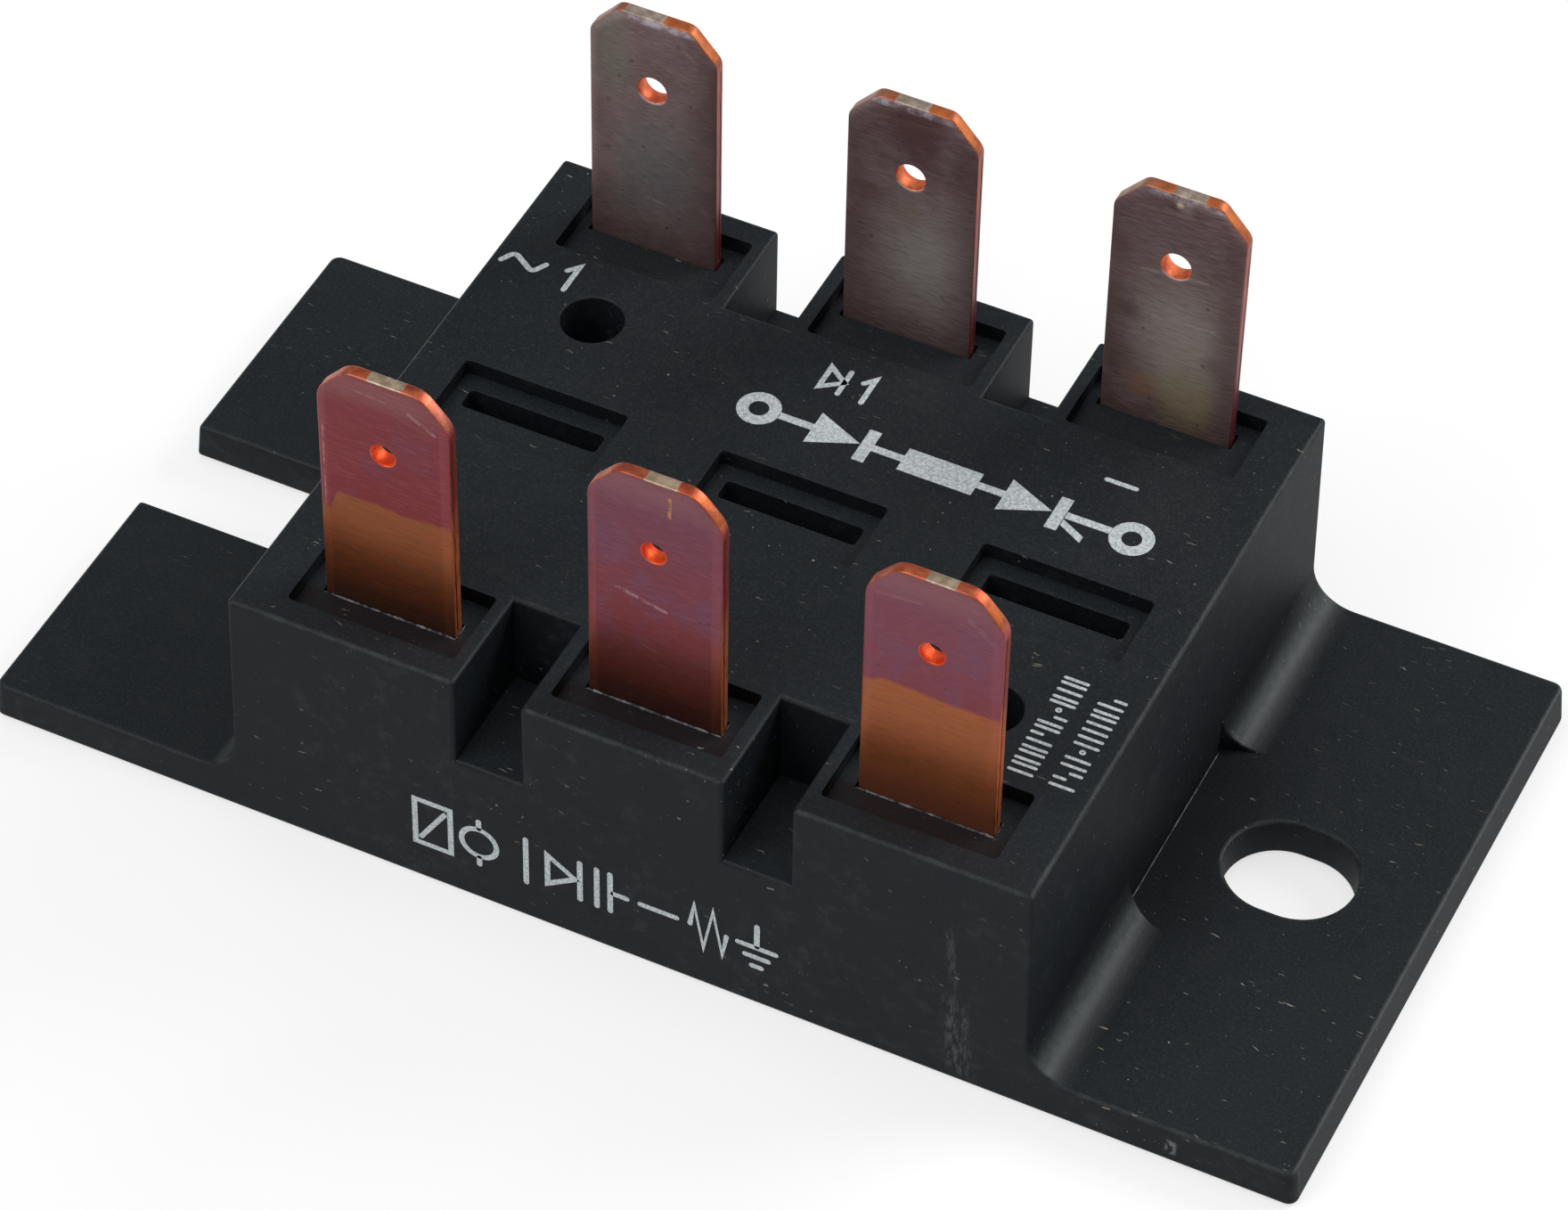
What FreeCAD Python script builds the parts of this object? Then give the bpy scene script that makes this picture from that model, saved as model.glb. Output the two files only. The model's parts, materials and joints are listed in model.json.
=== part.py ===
import FreeCAD, Part
import os
from FreeCAD import Vector as V

os.makedirs("parts", exist_ok=True)

# Frame: millimetres, +Z up, origin on the underside at the middle of the base.
# X runs along the length (screw to screw), Y across the width, the marked
# face looks to -Y.

# ---- moulded housing -------------------------------------------------------
length = 63.5            # over the two ears
width = 31.7             # housing and ears share this width
ear_t = 2.0              # thickness of the ears
body_half_top = 19.0    # half length of the body at its top
body_half_low = 19.2     # half length of the body above the ear fillet
body_h = 13.25           # top face above the underside
fillet_r = 2.1           # concave fillet between end wall and ear
edge_r = 0.22            # broken outer edges
top_wall = 3.0           # thickness of the top wall
plan_r = 0.5             # corners of the ears in plan
end_draft = 0.2          # the ears' end faces lean in by this much at the top

# screw positions: closed slot on the right ear, open slot on the left ear
screw_x = 24.8
slot_r = 2.6
open_r = 2.7             # half width of the open slot
open_y = -0.1
slot_len = 6.0
spot_r = 5.8             # spot face that interrupts the ear fillet
spot_x = 21.9
spot_wall = 19.25

# terminal positions: 3 columns by 3 rows
pitch_x = 12.72
row_y = 12.5
recess_l = 8.1
recess_w = 4.0
recess_d = 0.8
slot_l = 6.5             # through slots, a close fit round the blades
slot_w = 0.95
mid_slot_l = 6.7         # blind slots of the unused middle row
mid_slot_w = 1.1
mid_slot_y = 0.55
mid_slot_d = 1.5

# gaps between the bosses, open at the top and at the side wall
gap_in = 4.8
gap_out = 8.0
gap_y = 10.25
gap_floor = 8.4
gap_wall = 1.2
gap_floor_t = 1.4

# two potting holes in the top wall
pot_r = 1.45
pot_x = 12.95
pot_y = 6.8

# cavity and rebate for the base plate
cav_x = 16.2
cav_y = 14.1
rebate_x = 17.4
rebate_y = 14.8
rebate_d = 1.75

# ---- base plate and substrate ---------------------------------------------
plate_x = 34.6
plate_y = 29.4
plate_t = 1.6
bead_t = rebate_d - plate_t
solder_t = 0.1
foil_t = 0.3
foil_x = 29.6
foil_y = 24.4
tile_x = 31.0
tile_y = 25.4
tile_t = 0.63
pad_t = 0.3

z_foil = plate_t + solder_t
z_tile = z_foil + foil_t
z_pad = z_tile + tile_t
z_top = z_pad + pad_t            # upper face of the pads

# ---- dies ------------------------------------------------------------------
die_t = 0.4
die_solder_t = 0.08
scr_a = 5.6
diode_a = 4.6

# ---- terminals --------------------------------------------------------------
blade_w = 6.3
blade_t = 0.81
blade_top = 26.1
blade_hole_z = 22.05
front_hole_r = 0.55       # detent holes; the front row's are smaller
rear_hole_r = 0.70
tip_cx = 1.35
tip_cz = 1.5
foot_w = 4.6
foot_len = 3.4
joint_t = 0.1
front_y = -12.35
rear_y = 13.35
rear_dx = -0.3

# ---- fillings ----------------------------------------------------------------
gel_top = 6.2
epoxy_top = 9.7


def box(x0, x1, y0, y1, z0, z1):
    return Part.makeBox(x1 - x0, y1 - y0, z1 - z0, V(x0, y0, z0))


def centred(cx, cy, lx, ly, z0, z1):
    return box(cx - lx / 2, cx + lx / 2, cy - ly / 2, cy + ly / 2, z0, z1)


def rounded(cx, cy, lx, ly, z0, z1, r):
    b = centred(cx, cy, lx, ly, z0, z1)
    edges = [e for e in b.Edges
             if abs(e.Vertexes[0].Point.x - e.Vertexes[1].Point.x) < 1e-6
             and abs(e.Vertexes[0].Point.y - e.Vertexes[1].Point.y) < 1e-6]
    return b.makeFillet(r, edges)


def oval(cx, r, half, z0, z1):
    s = Part.makeCylinder(r, z1 - z0, V(cx - half, 0, z0))
    s = s.fuse(Part.makeCylinder(r, z1 - z0, V(cx + half, 0, z0)))
    s = s.fuse(box(cx - half, cx + half, -r, r, z0, z1))
    return s.removeSplitter()


def solid_of(shape):
    shape = shape.removeSplitter()
    return shape.Solids[0] if len(shape.Solids) == 1 else shape


# ---- housing -----------------------------------------------------------------
def make_housing():
    hl, hw = length / 2, width / 2
    zf = ear_t + fillet_r
    xf = body_half_low + fillet_r
    k = fillet_r * (1 - 0.70710678)
    pts = []

    def line(a, b):
        pts.append(Part.makeLine(V(a[0], -hw, a[1]), V(b[0], -hw, b[1])))

    def arc(a, m, b):
        pts.append(Part.Arc(V(a[0], -hw, a[1]), V(m[0], -hw, m[1]), V(b[0], -hw, b[1])).toShape())

    line((-hl, 0), (hl, 0))
    line((hl, 0), (hl - end_draft, ear_t))
    line((hl - end_draft, ear_t), (xf, ear_t))
    arc((xf, ear_t), (body_half_low + k, ear_t + k), (body_half_low, zf))
    line((body_half_low, zf), (body_half_top, body_h))
    line((body_half_top, body_h), (-body_half_top, body_h))
    line((-body_half_top, body_h), (-body_half_low, zf))
    arc((-body_half_low, zf), (-body_half_low - k, ear_t + k), (-xf, ear_t))
    line((-xf, ear_t), (-hl + end_draft, ear_t))
    line((-hl + end_draft, ear_t), (-hl, 0))
    s = Part.Face(Part.Wire(Part.__sortEdges__(pts))).extrude(V(0, width, 0))

    # broken edges around the top and rounded ear corners
    def on_top(e):
        return all(abs(v.Point.z - body_h) < 1e-4 for v in e.Vertexes)

    def ear_corner(e):
        a, b = e.Vertexes[0].Point, e.Vertexes[1].Point
        return (abs(a.x) > hl - 1 and abs(b.x) > hl - 1
                and abs(a.y - b.y) < 1e-4 and abs(a.z - b.z) > 1)

    s = s.makeFillet(plan_r, [e for e in s.Edges if ear_corner(e)])
    s = s.makeFillet(edge_r, [e for e in s.Edges if on_top(e)])

    cut = []
    # gaps between the bosses
    for sx in (-1, 1):
        for sy in (-1, 1):
            x0, x1 = sorted((sx * gap_in, sx * gap_out))
            y0, y1 = sorted((sy * gap_y, sy * (hw + 1)))
            cut.append(box(x0, x1, y0, y1, gap_floor, body_h + 1))
    # recesses and blade slots
    zr = body_h - recess_d
    for i in (-1, 0, 1):
        x = i * pitch_x
        for j in (-1, 0, 1):
            cut.append(rounded(x, j * row_y, recess_l, recess_w, zr, body_h + 1, 0.2))
        cut.append(centred(x, front_y, slot_l, slot_w, body_h - top_wall - 0.5, zr + 0.1))
        cut.append(centred(x + rear_dx, rear_y, slot_l, slot_w, body_h - top_wall - 0.5, zr + 0.1))
        cut.append(rounded(x, mid_slot_y, mid_slot_l, mid_slot_w, zr - mid_slot_d, zr + 0.1, 0.2))
    # potting holes
    for sg in (-1, 1):
        cut.append(Part.makeCylinder(pot_r, top_wall + 2, V(sg * pot_x, -sg * pot_y, body_h - top_wall - 0.5)))
    # spot faces at the screws
    for sg in (-1, 1):
        c = Part.makeCylinder(spot_r, fillet_r + 1.5, V(sg * spot_x, 0, ear_t))
        x0, x1 = sorted((sg * spot_wall, sg * (hl + 1)))
        cut.append(c.common(box(x0, x1, -spot_r - 1, spot_r + 1, ear_t, ear_t + fillet_r + 1.5)))
    # closed slot on the right, open slot on the left
    cut.append(oval(screw_x, slot_r, (slot_len - 2 * slot_r) / 2, -1, ear_t + 1))
    op = Part.makeCylinder(open_r, ear_t + 2, V(-screw_x, open_y, -1))
    op = op.fuse(box(-hl - 2, -screw_x, open_y - open_r, open_y + open_r, -1, ear_t + 1)).removeSplitter()
    cut.append(op)
    # cavity, less the walls around the gaps
    cavity = rounded(0, 0, 2 * cav_x, 2 * cav_y, -1, body_h - top_wall, 0.8)
    for sx in (-1, 1):
        for sy in (-1, 1):
            x0, x1 = sorted((sx * (gap_in - gap_wall), sx * (gap_out + gap_wall)))
            y0, y1 = sorted((sy * (gap_y - gap_wall), sy * (cav_y + 1)))
            cavity = cavity.cut(box(x0, x1, y0, y1, gap_floor - gap_floor_t, body_h))
    cut.append(cavity)
    cut.append(rounded(0, 0, 2 * rebate_x, 2 * rebate_y, -1, rebate_d, 1.0))
    for c in cut:
        s = s.cut(c)
    return solid_of(s), cavity


# ---- terminals ---------------------------------------------------------------
# A blade folded double from one strip: the open side of the fold shows as a
# seam along the right-hand edge. The blade drops through the top wall and
# turns inward to a foot on its pad.
def make_terminal(x, y, inward):
    z0 = z_top + joint_t
    hw = blade_w / 2
    w = [V(x - foot_w / 2, y, z0), V(x + foot_w / 2, y, z0),
         V(x + foot_w / 2, y, z0 + 2.2), V(x + hw, y, z0 + 3.4),
         V(x + hw, y, blade_top - tip_cz), V(x + hw - tip_cx, y, blade_top),
         V(x - hw + tip_cx, y, blade_top), V(x - hw, y, blade_top - tip_cz),
         V(x - hw, y, z0 + 3.4), V(x - foot_w / 2, y, z0 + 2.2), V(x - foot_w / 2, y, z0)]
    face = Part.Face(Part.makePolygon([p - V(0, blade_t / 2, 0) for p in w]))
    s = face.extrude(V(0, blade_t, 0))
    # soften the corners where the tip chamfers meet the edges
    tips = [e for e in s.Edges if abs(e.Vertexes[0].Point.y - e.Vertexes[1].Point.y) > 0.5
            and e.Vertexes[0].Point.z > blade_top - tip_cz - 0.01]
    s = s.makeFillet(0.35, tips)
    hole_r = front_hole_r if inward > 0 else rear_hole_r
    s = s.cut(Part.makeCylinder(hole_r, 3, V(x, y - 1.5, blade_hole_z), V(0, 1, 0)))
    # seam of the fold
    s = s.cut(box(x + hw - 0.35, x + hw + 1, y - 0.03, y + 0.03, z0 + 5, blade_top + 1))
    y1 = y + inward * foot_len
    ya, yb = sorted((y - inward * blade_t / 2, y1))
    s = s.fuse(box(x - foot_w / 2, x + foot_w / 2, ya, yb, z0, z0 + blade_t))
    return solid_of(s)


def strap(x0, y0, z0, x1, y1, z1, w, t, rise):
    # flat strip along X or Y: lands on the die at one end and on a pad at the other
    n = V(x1 - x0, y1 - y0, 0)
    length_s = n.Length
    d = n.normalize()
    land = 1.6

    def p(s, z):
        return V(x0 + d.x * s, y0 + d.y * s, z)
    top = max(z0, z1) + rise
    prof = [p(-land / 2, z0), p(land / 2, z0), p(land / 2 + 0.4, top), p(length_s - land / 2 - 0.5, top),
            p(length_s - land / 2, z1), p(length_s + land / 2, z1), p(length_s + land / 2, z1 + t),
            p(length_s - land / 2 + t * 0.9, z1 + t), p(length_s - land / 2 - 0.5 + t * 0.9, top + t),
            p(land / 2 + 0.4 - t * 0.9, top + t), p(land / 2 - t * 0.9, z0 + t), p(-land / 2, z0 + t),
            p(-land / 2, z0)]
    side = V(-d.y, d.x, 0)
    f = Part.Face(Part.makePolygon([q - side * (w / 2) for q in prof]))
    return f.extrude(side * w)


def wire(points, r):
    segs = [Part.makeLine(a, b) for a, b in zip(points[:-1], points[1:])]
    s = None
    for a, b in zip(points[:-1], points[1:]):
        c = Part.makeCylinder(r, (b - a).Length, a, b - a)
        s = c if s is None else s.fuse(c)
    for q in points[1:-1]:
        s = s.fuse(Part.makeSphere(r, q))
    return solid_of(s)


nodes = {}
housing, cavity = make_housing()
nodes["housing"] = housing

nodes["base_plate"] = rounded(0, 0, plate_x, plate_y, 0, plate_t, 0.9)
bead = rounded(0, 0, plate_x, plate_y, plate_t, rebate_d, 0.9).cut(
    rounded(0, 0, 2 * cav_x, 2 * cav_y, plate_t - 1, rebate_d + 1, 0.8))
nodes["plate_adhesive"] = solid_of(bead)

nodes["substrate_solder"] = centred(0, 0, foil_x, foil_y, plate_t, z_foil)
nodes["substrate_foil"] = centred(0, 0, foil_x, foil_y, z_foil, z_tile)
nodes["ceramic_tile"] = rounded(0, 0, tile_x, tile_y, z_tile, z_pad, 0.6)


def pad(*rects):
    s = None
    for x0, x1, y0, y1 in rects:
        b = box(x0, x1, y0, y1, z_pad, z_top)
        s = b if s is None else s.fuse(b)
    return solid_of(s)


nodes["pad_ac_1"] = pad((-15.0, -5.3, -12.2, 8.0))
nodes["pad_ac_2"] = pad((5.3, 15.0, -12.2, 4.1))
nodes["pad_plus"] = pad((-4.6, 4.6, -12.2, 3.6))
nodes["pad_minus"] = pad((-4.6, 15.0, 4.8, 7.6), (5.3, 15.0, 4.8, 12.2))
nodes["pad_gate_1"] = pad((-15.0, -5.3, 8.8, 12.2))
nodes["pad_gate_2"] = pad((-4.6, 4.6, 8.4, 12.2))

z_die = z_top + die_solder_t
z_dtop = z_die + die_t
dies = {
    "scr_die_1": (-9.9, -4.6, scr_a),
    "scr_die_2": (9.9, -4.6, scr_a),
    "diode_die_1": (-9.2, 5.4, diode_a),
    "diode_die_2": (10.0, 1.5, diode_a),
    "freewheel_die": (0.0, 0.9, diode_a),
}
die_solder = []
for name, (x, y, a) in dies.items():
    nodes[name] = centred(x, y, a, a, z_die, z_dtop)
    die_solder.append(centred(x, y, a, a, z_top, z_die))
nodes["die_solder"] = Part.Compound(die_solder)

ts = 0.3
nodes["strap_scr_1"] = strap(-9.4, -4.6, z_dtop, -3.2, -4.6, z_top, 3.0, ts, 0.5)
nodes["strap_scr_2"] = strap(9.4, -4.6, z_dtop, 3.2, -4.6, z_top, 3.0, ts, 0.5)
nodes["strap_diode_1"] = strap(-9.0, 6.1, z_dtop, -3.4, 6.1, z_top, 2.4, ts, 0.5)
nodes["strap_diode_2"] = strap(10.0, 1.7, z_dtop, 10.0, 6.4, z_top, 2.4, ts, 0.5)
nodes["strap_freewheel"] = strap(0.0, 1.2, z_dtop, 0.0, 6.1, z_top, 2.4, ts, 0.5)

wr = 0.25
nodes["gate_lead_1"] = wire([V(-13.9, 9.4, z_top), V(-13.9, 9.4, 5.4), V(-12.0, -2.5, 5.4), V(-12.0, -2.5, z_dtop)], wr)
nodes["gate_lead_2"] = wire([V(4.0, 9.0, z_top), V(4.0, 9.0, 5.4), V(7.8, -2.5, 5.4), V(7.8, -2.5, z_dtop)], wr)

cols = {"left": -1, "middle": 0, "right": 1}
joints = []
for cname, i in cols.items():
    xf = i * pitch_x
    nodes["tab_front_" + cname] = make_terminal(xf, front_y, 1)
    joints.append(centred(xf, front_y + foot_len / 2 + 0.35, foot_w, foot_len - 0.9, z_top, z_top + joint_t))
    xr = i * pitch_x + rear_dx
    nodes["tab_rear_" + cname] = make_terminal(xr, rear_y, -1)
    joints.append(centred(xr, rear_y - foot_len / 2 - 0.9, foot_w, foot_len - 2.0, z_top, z_top + joint_t))
nodes["terminal_solder"] = Part.Compound(joints)

# fillings: soft gel over the dies, hard potting above it
inner = [s for n, s in nodes.items() if n not in ("housing", "base_plate", "plate_adhesive")]


def filling(z0, z1):
    f = cavity.common(box(-40, 40, -40, 40, z0, z1))
    for s in inner:
        b = s.BoundBox
        if b.ZMin < z1 and b.ZMax > z0:
            f = f.cut(s)
    # keep the one main volume; closed-in slivers stay air
    f = max(f.Solids, key=lambda q: q.Volume)
    return f


nodes["silicone_gel"] = filling(plate_t, gel_top)
nodes["epoxy_potting"] = filling(gel_top, epoxy_top)

for name, shape in nodes.items():
    ok = shape.isValid()
    shape.exportStep("parts/" + name + ".step")
    b = shape.BoundBox
    print("%-18s solids %d valid %s vol %.2f  x %.2f..%.2f y %.2f..%.2f z %.2f..%.2f" % (
        name, len(shape.Solids), ok, shape.Volume, b.XMin, b.XMax, b.YMin, b.YMax, b.ZMin, b.ZMax))
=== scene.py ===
import bpy
import bmesh
import json
import math
import random
from mathutils import Vector, Matrix

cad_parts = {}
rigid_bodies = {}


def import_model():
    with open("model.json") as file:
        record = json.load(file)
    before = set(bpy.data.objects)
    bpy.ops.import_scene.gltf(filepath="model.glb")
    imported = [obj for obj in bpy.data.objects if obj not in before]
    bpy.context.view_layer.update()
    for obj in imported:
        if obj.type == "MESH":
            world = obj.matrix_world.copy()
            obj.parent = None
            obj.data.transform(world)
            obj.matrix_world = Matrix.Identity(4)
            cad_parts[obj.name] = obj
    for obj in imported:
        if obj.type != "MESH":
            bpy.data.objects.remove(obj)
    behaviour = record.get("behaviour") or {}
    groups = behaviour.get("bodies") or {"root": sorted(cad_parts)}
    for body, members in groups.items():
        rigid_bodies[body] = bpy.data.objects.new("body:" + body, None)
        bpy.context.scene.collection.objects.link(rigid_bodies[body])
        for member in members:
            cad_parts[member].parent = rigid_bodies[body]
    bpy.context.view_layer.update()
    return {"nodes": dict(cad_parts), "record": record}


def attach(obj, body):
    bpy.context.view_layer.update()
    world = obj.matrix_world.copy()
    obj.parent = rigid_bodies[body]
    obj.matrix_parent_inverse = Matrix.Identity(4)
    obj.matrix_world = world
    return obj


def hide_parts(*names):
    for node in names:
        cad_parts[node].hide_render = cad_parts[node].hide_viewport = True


for o in list(bpy.data.objects):
    bpy.data.objects.remove(o, do_unlink=True)

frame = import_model()
nodes = frame["nodes"]

MM = 0.001

# ---------------------------------------------------------------- dimensions
LEN, WID = 63.5, 31.7
EAR_T = 2.0
H = 13.25
TOP_X, LOW_X = 19.0, 19.2
FIL = 2.1
DRAFT = 0.2
PITCH = 12.72
ROW_Y = 12.5
REC_L, REC_W, REC_D = 8.1, 4.0, 0.8
SLOT_L, SLOT_W = 6.5, 0.95
MID_L, MID_W, MID_Y, MID_D = 6.7, 1.1, 0.55, 1.5
SPOT_X, SPOT_R = 21.9, 5.8
FRONT_Y, REAR_Y, REAR_DX = -12.35, 13.35, -0.3
BLADE_W, BLADE_T, BLADE_TOP, HOLE_Z = 6.3, 0.81, 26.1, 22.05
FLOOR_Z = H - REC_D

coll = bpy.context.scene.collection


# ---------------------------------------------------------------- node helpers
class NT:
    """Small helper around a material's node tree; coordinates are in millimetres."""

    def __init__(self, name):
        self.mat = bpy.data.materials.new(name)
        self.mat.use_nodes = True
        self.t = self.mat.node_tree
        self.t.nodes.clear()
        self.out = self.t.nodes.new("ShaderNodeOutputMaterial")
        self.bsdf = self.t.nodes.new("ShaderNodeBsdfPrincipled")
        self.t.links.new(self.bsdf.outputs[0], self.out.inputs[0])
        tc = self.t.nodes.new("ShaderNodeTexCoord")
        sc = self.t.nodes.new("ShaderNodeVectorMath")
        sc.operation = "SCALE"
        self.t.links.new(tc.outputs["Object"], sc.inputs[0])
        sc.inputs["Scale"].default_value = 1000.0
        self.p = sc.outputs[0]
        sep = self.t.nodes.new("ShaderNodeSeparateXYZ")
        self.t.links.new(self.p, sep.inputs[0])
        self.x, self.y, self.z = sep.outputs
        self._n = None

    def normal(self):
        if self._n is None:
            tc = self.t.nodes.new("ShaderNodeTexCoord")
            sep = self.t.nodes.new("ShaderNodeSeparateXYZ")
            self.t.links.new(tc.outputs["Normal"], sep.inputs[0])
            self._n = sep.outputs
        return self._n

    def link(self, a, b):
        if isinstance(a, (int, float)):
            b.default_value = a
        elif isinstance(a, (tuple, list)):
            b.default_value = tuple(a) + ((1.0,) if len(a) == 3 and len(b.default_value) == 4 else ())
        else:
            self.t.links.new(a, b)

    def math(self, op, a, b=0.0, c=0.0, clamp=False):
        n = self.t.nodes.new("ShaderNodeMath")
        n.operation = op
        n.use_clamp = clamp
        self.link(a, n.inputs[0])
        self.link(b, n.inputs[1])
        if len(n.inputs) > 2:
            self.link(c, n.inputs[2])
        return n.outputs[0]

    def ramp(self, v, lo, hi, a=0.0, b=1.0, smooth=True):
        n = self.t.nodes.new("ShaderNodeMapRange")
        n.interpolation_type = "SMOOTHSTEP" if smooth else "LINEAR"
        n.clamp = True
        self.link(v, n.inputs[0])
        n.inputs[1].default_value = lo
        n.inputs[2].default_value = hi
        n.inputs[3].default_value = a
        n.inputs[4].default_value = b
        return n.outputs[0]

    def noise(self, scale, detail=3.0, rough=0.55, stretch=None, offset=None, distort=0.0):
        n = self.t.nodes.new("ShaderNodeTexNoise")
        n.inputs["Scale"].default_value = scale
        n.inputs["Detail"].default_value = detail
        n.inputs["Roughness"].default_value = rough
        n.inputs["Distortion"].default_value = distort
        self.t.links.new(self.mapped(stretch, offset), n.inputs["Vector"])
        return n.outputs[0]

    def mapped(self, stretch=None, offset=None, rot=None):
        if stretch is None and offset is None and rot is None:
            return self.p
        m = self.t.nodes.new("ShaderNodeMapping")
        self.t.links.new(self.p, m.inputs["Vector"])
        if stretch:
            m.inputs["Scale"].default_value = stretch
        if offset:
            m.inputs["Location"].default_value = offset
        if rot:
            m.inputs["Rotation"].default_value = rot
        return m.outputs[0]

    def warped(self, scale, amount):
        """Coordinates pushed about by a noise, for ragged or curled marks."""
        t = self.t.nodes.new("ShaderNodeTexNoise")
        t.inputs["Scale"].default_value = scale
        t.inputs["Detail"].default_value = 2.0
        self.t.links.new(self.p, t.inputs["Vector"])
        a = self.t.nodes.new("ShaderNodeVectorMath")
        a.operation = "SUBTRACT"
        self.t.links.new(t.outputs["Color"], a.inputs[0])
        a.inputs[1].default_value = (0.5, 0.5, 0.5)
        b = self.t.nodes.new("ShaderNodeVectorMath")
        b.operation = "SCALE"
        self.t.links.new(a.outputs[0], b.inputs[0])
        b.inputs["Scale"].default_value = amount
        c = self.t.nodes.new("ShaderNodeVectorMath")
        c.operation = "ADD"
        self.t.links.new(self.p, c.inputs[0])
        self.t.links.new(b.outputs[0], c.inputs[1])
        return c.outputs[0]

    def cells_on(self, vec, scale, offset=None, stretch=None, rot=None):
        m = self.t.nodes.new("ShaderNodeMapping")
        self.t.links.new(vec, m.inputs["Vector"])
        if stretch:
            m.inputs["Scale"].default_value = stretch
        if offset:
            m.inputs["Location"].default_value = offset
        if rot:
            m.inputs["Rotation"].default_value = rot
        n = self.t.nodes.new("ShaderNodeTexVoronoi")
        n.inputs["Scale"].default_value = scale
        self.t.links.new(m.outputs[0], n.inputs["Vector"])
        s = self.t.nodes.new("ShaderNodeSeparateColor")
        self.t.links.new(n.outputs["Color"], s.inputs[0])
        return n.outputs["Distance"], s.outputs

    def cells(self, scale, offset=None, stretch=None, rot=None):
        n = self.t.nodes.new("ShaderNodeTexVoronoi")
        n.inputs["Scale"].default_value = scale
        self.t.links.new(self.mapped(stretch, offset, rot), n.inputs["Vector"])
        s = self.t.nodes.new("ShaderNodeSeparateColor")
        self.t.links.new(n.outputs["Color"], s.inputs[0])
        return n.outputs["Distance"], s.outputs

    def mix(self, f, a, b, mode="MIX"):
        n = self.t.nodes.new("ShaderNodeMix")
        n.data_type = "RGBA"
        n.blend_type = mode
        n.clamp_factor = True
        self.link(f, n.inputs[0])
        self.link(a, n.inputs[6])
        self.link(b, n.inputs[7])
        return n.outputs[2]

    def lerp(self, f, a, b):
        n = self.t.nodes.new("ShaderNodeMix")
        n.data_type = "FLOAT"
        n.clamp_factor = True
        self.link(f, n.inputs[0])
        self.link(a, n.inputs[2])
        self.link(b, n.inputs[3])
        return n.outputs[0]

    def dash(self, u, v, a, b, width, soft=0.5):
        """1 along the straight mark from a to b in the (u, v) plane, fading to 0 at its sides."""
        dx, dy = b[0] - a[0], b[1] - a[1]
        ln = math.hypot(dx, dy)
        ex, ey = dx / ln, dy / ln
        pu, pv = self.math("SUBTRACT", u, a[0]), self.math("SUBTRACT", v, a[1])
        along = self.math("ADD", self.math("MULTIPLY", pu, ex), self.math("MULTIPLY", pv, ey))
        across = self.math("ADD", self.math("MULTIPLY", pu, -ey), self.math("MULTIPLY", pv, ex))
        over = self.math("SUBTRACT", along, self.math("MAXIMUM", self.math("MINIMUM", along, ln), 0.0))
        d = self.math("SQRT", self.math("ADD", self.math("MULTIPLY", over, over), self.math("MULTIPLY", across, across)))
        return self.ramp(d, width, width * soft)

    def bump(self, h, strength, dist):
        n = self.t.nodes.new("ShaderNodeBump")
        n.inputs["Strength"].default_value = strength
        n.inputs["Distance"].default_value = dist * MM
        self.link(h, n.inputs["Height"])
        self.t.links.new(n.outputs[0], self.bsdf.inputs["Normal"])

    def set(self, **kw):
        for k, v in kw.items():
            self.link(v, self.bsdf.inputs[k.replace("_", " ")])


def lin(r, g, b):
    """sRGB 0..255 to linear."""
    def f(c):
        c = c / 255.0
        return c / 12.92 if c <= 0.04045 else ((c + 0.055) / 1.055) ** 2.4
    return (f(r), f(g), f(b))


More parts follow.
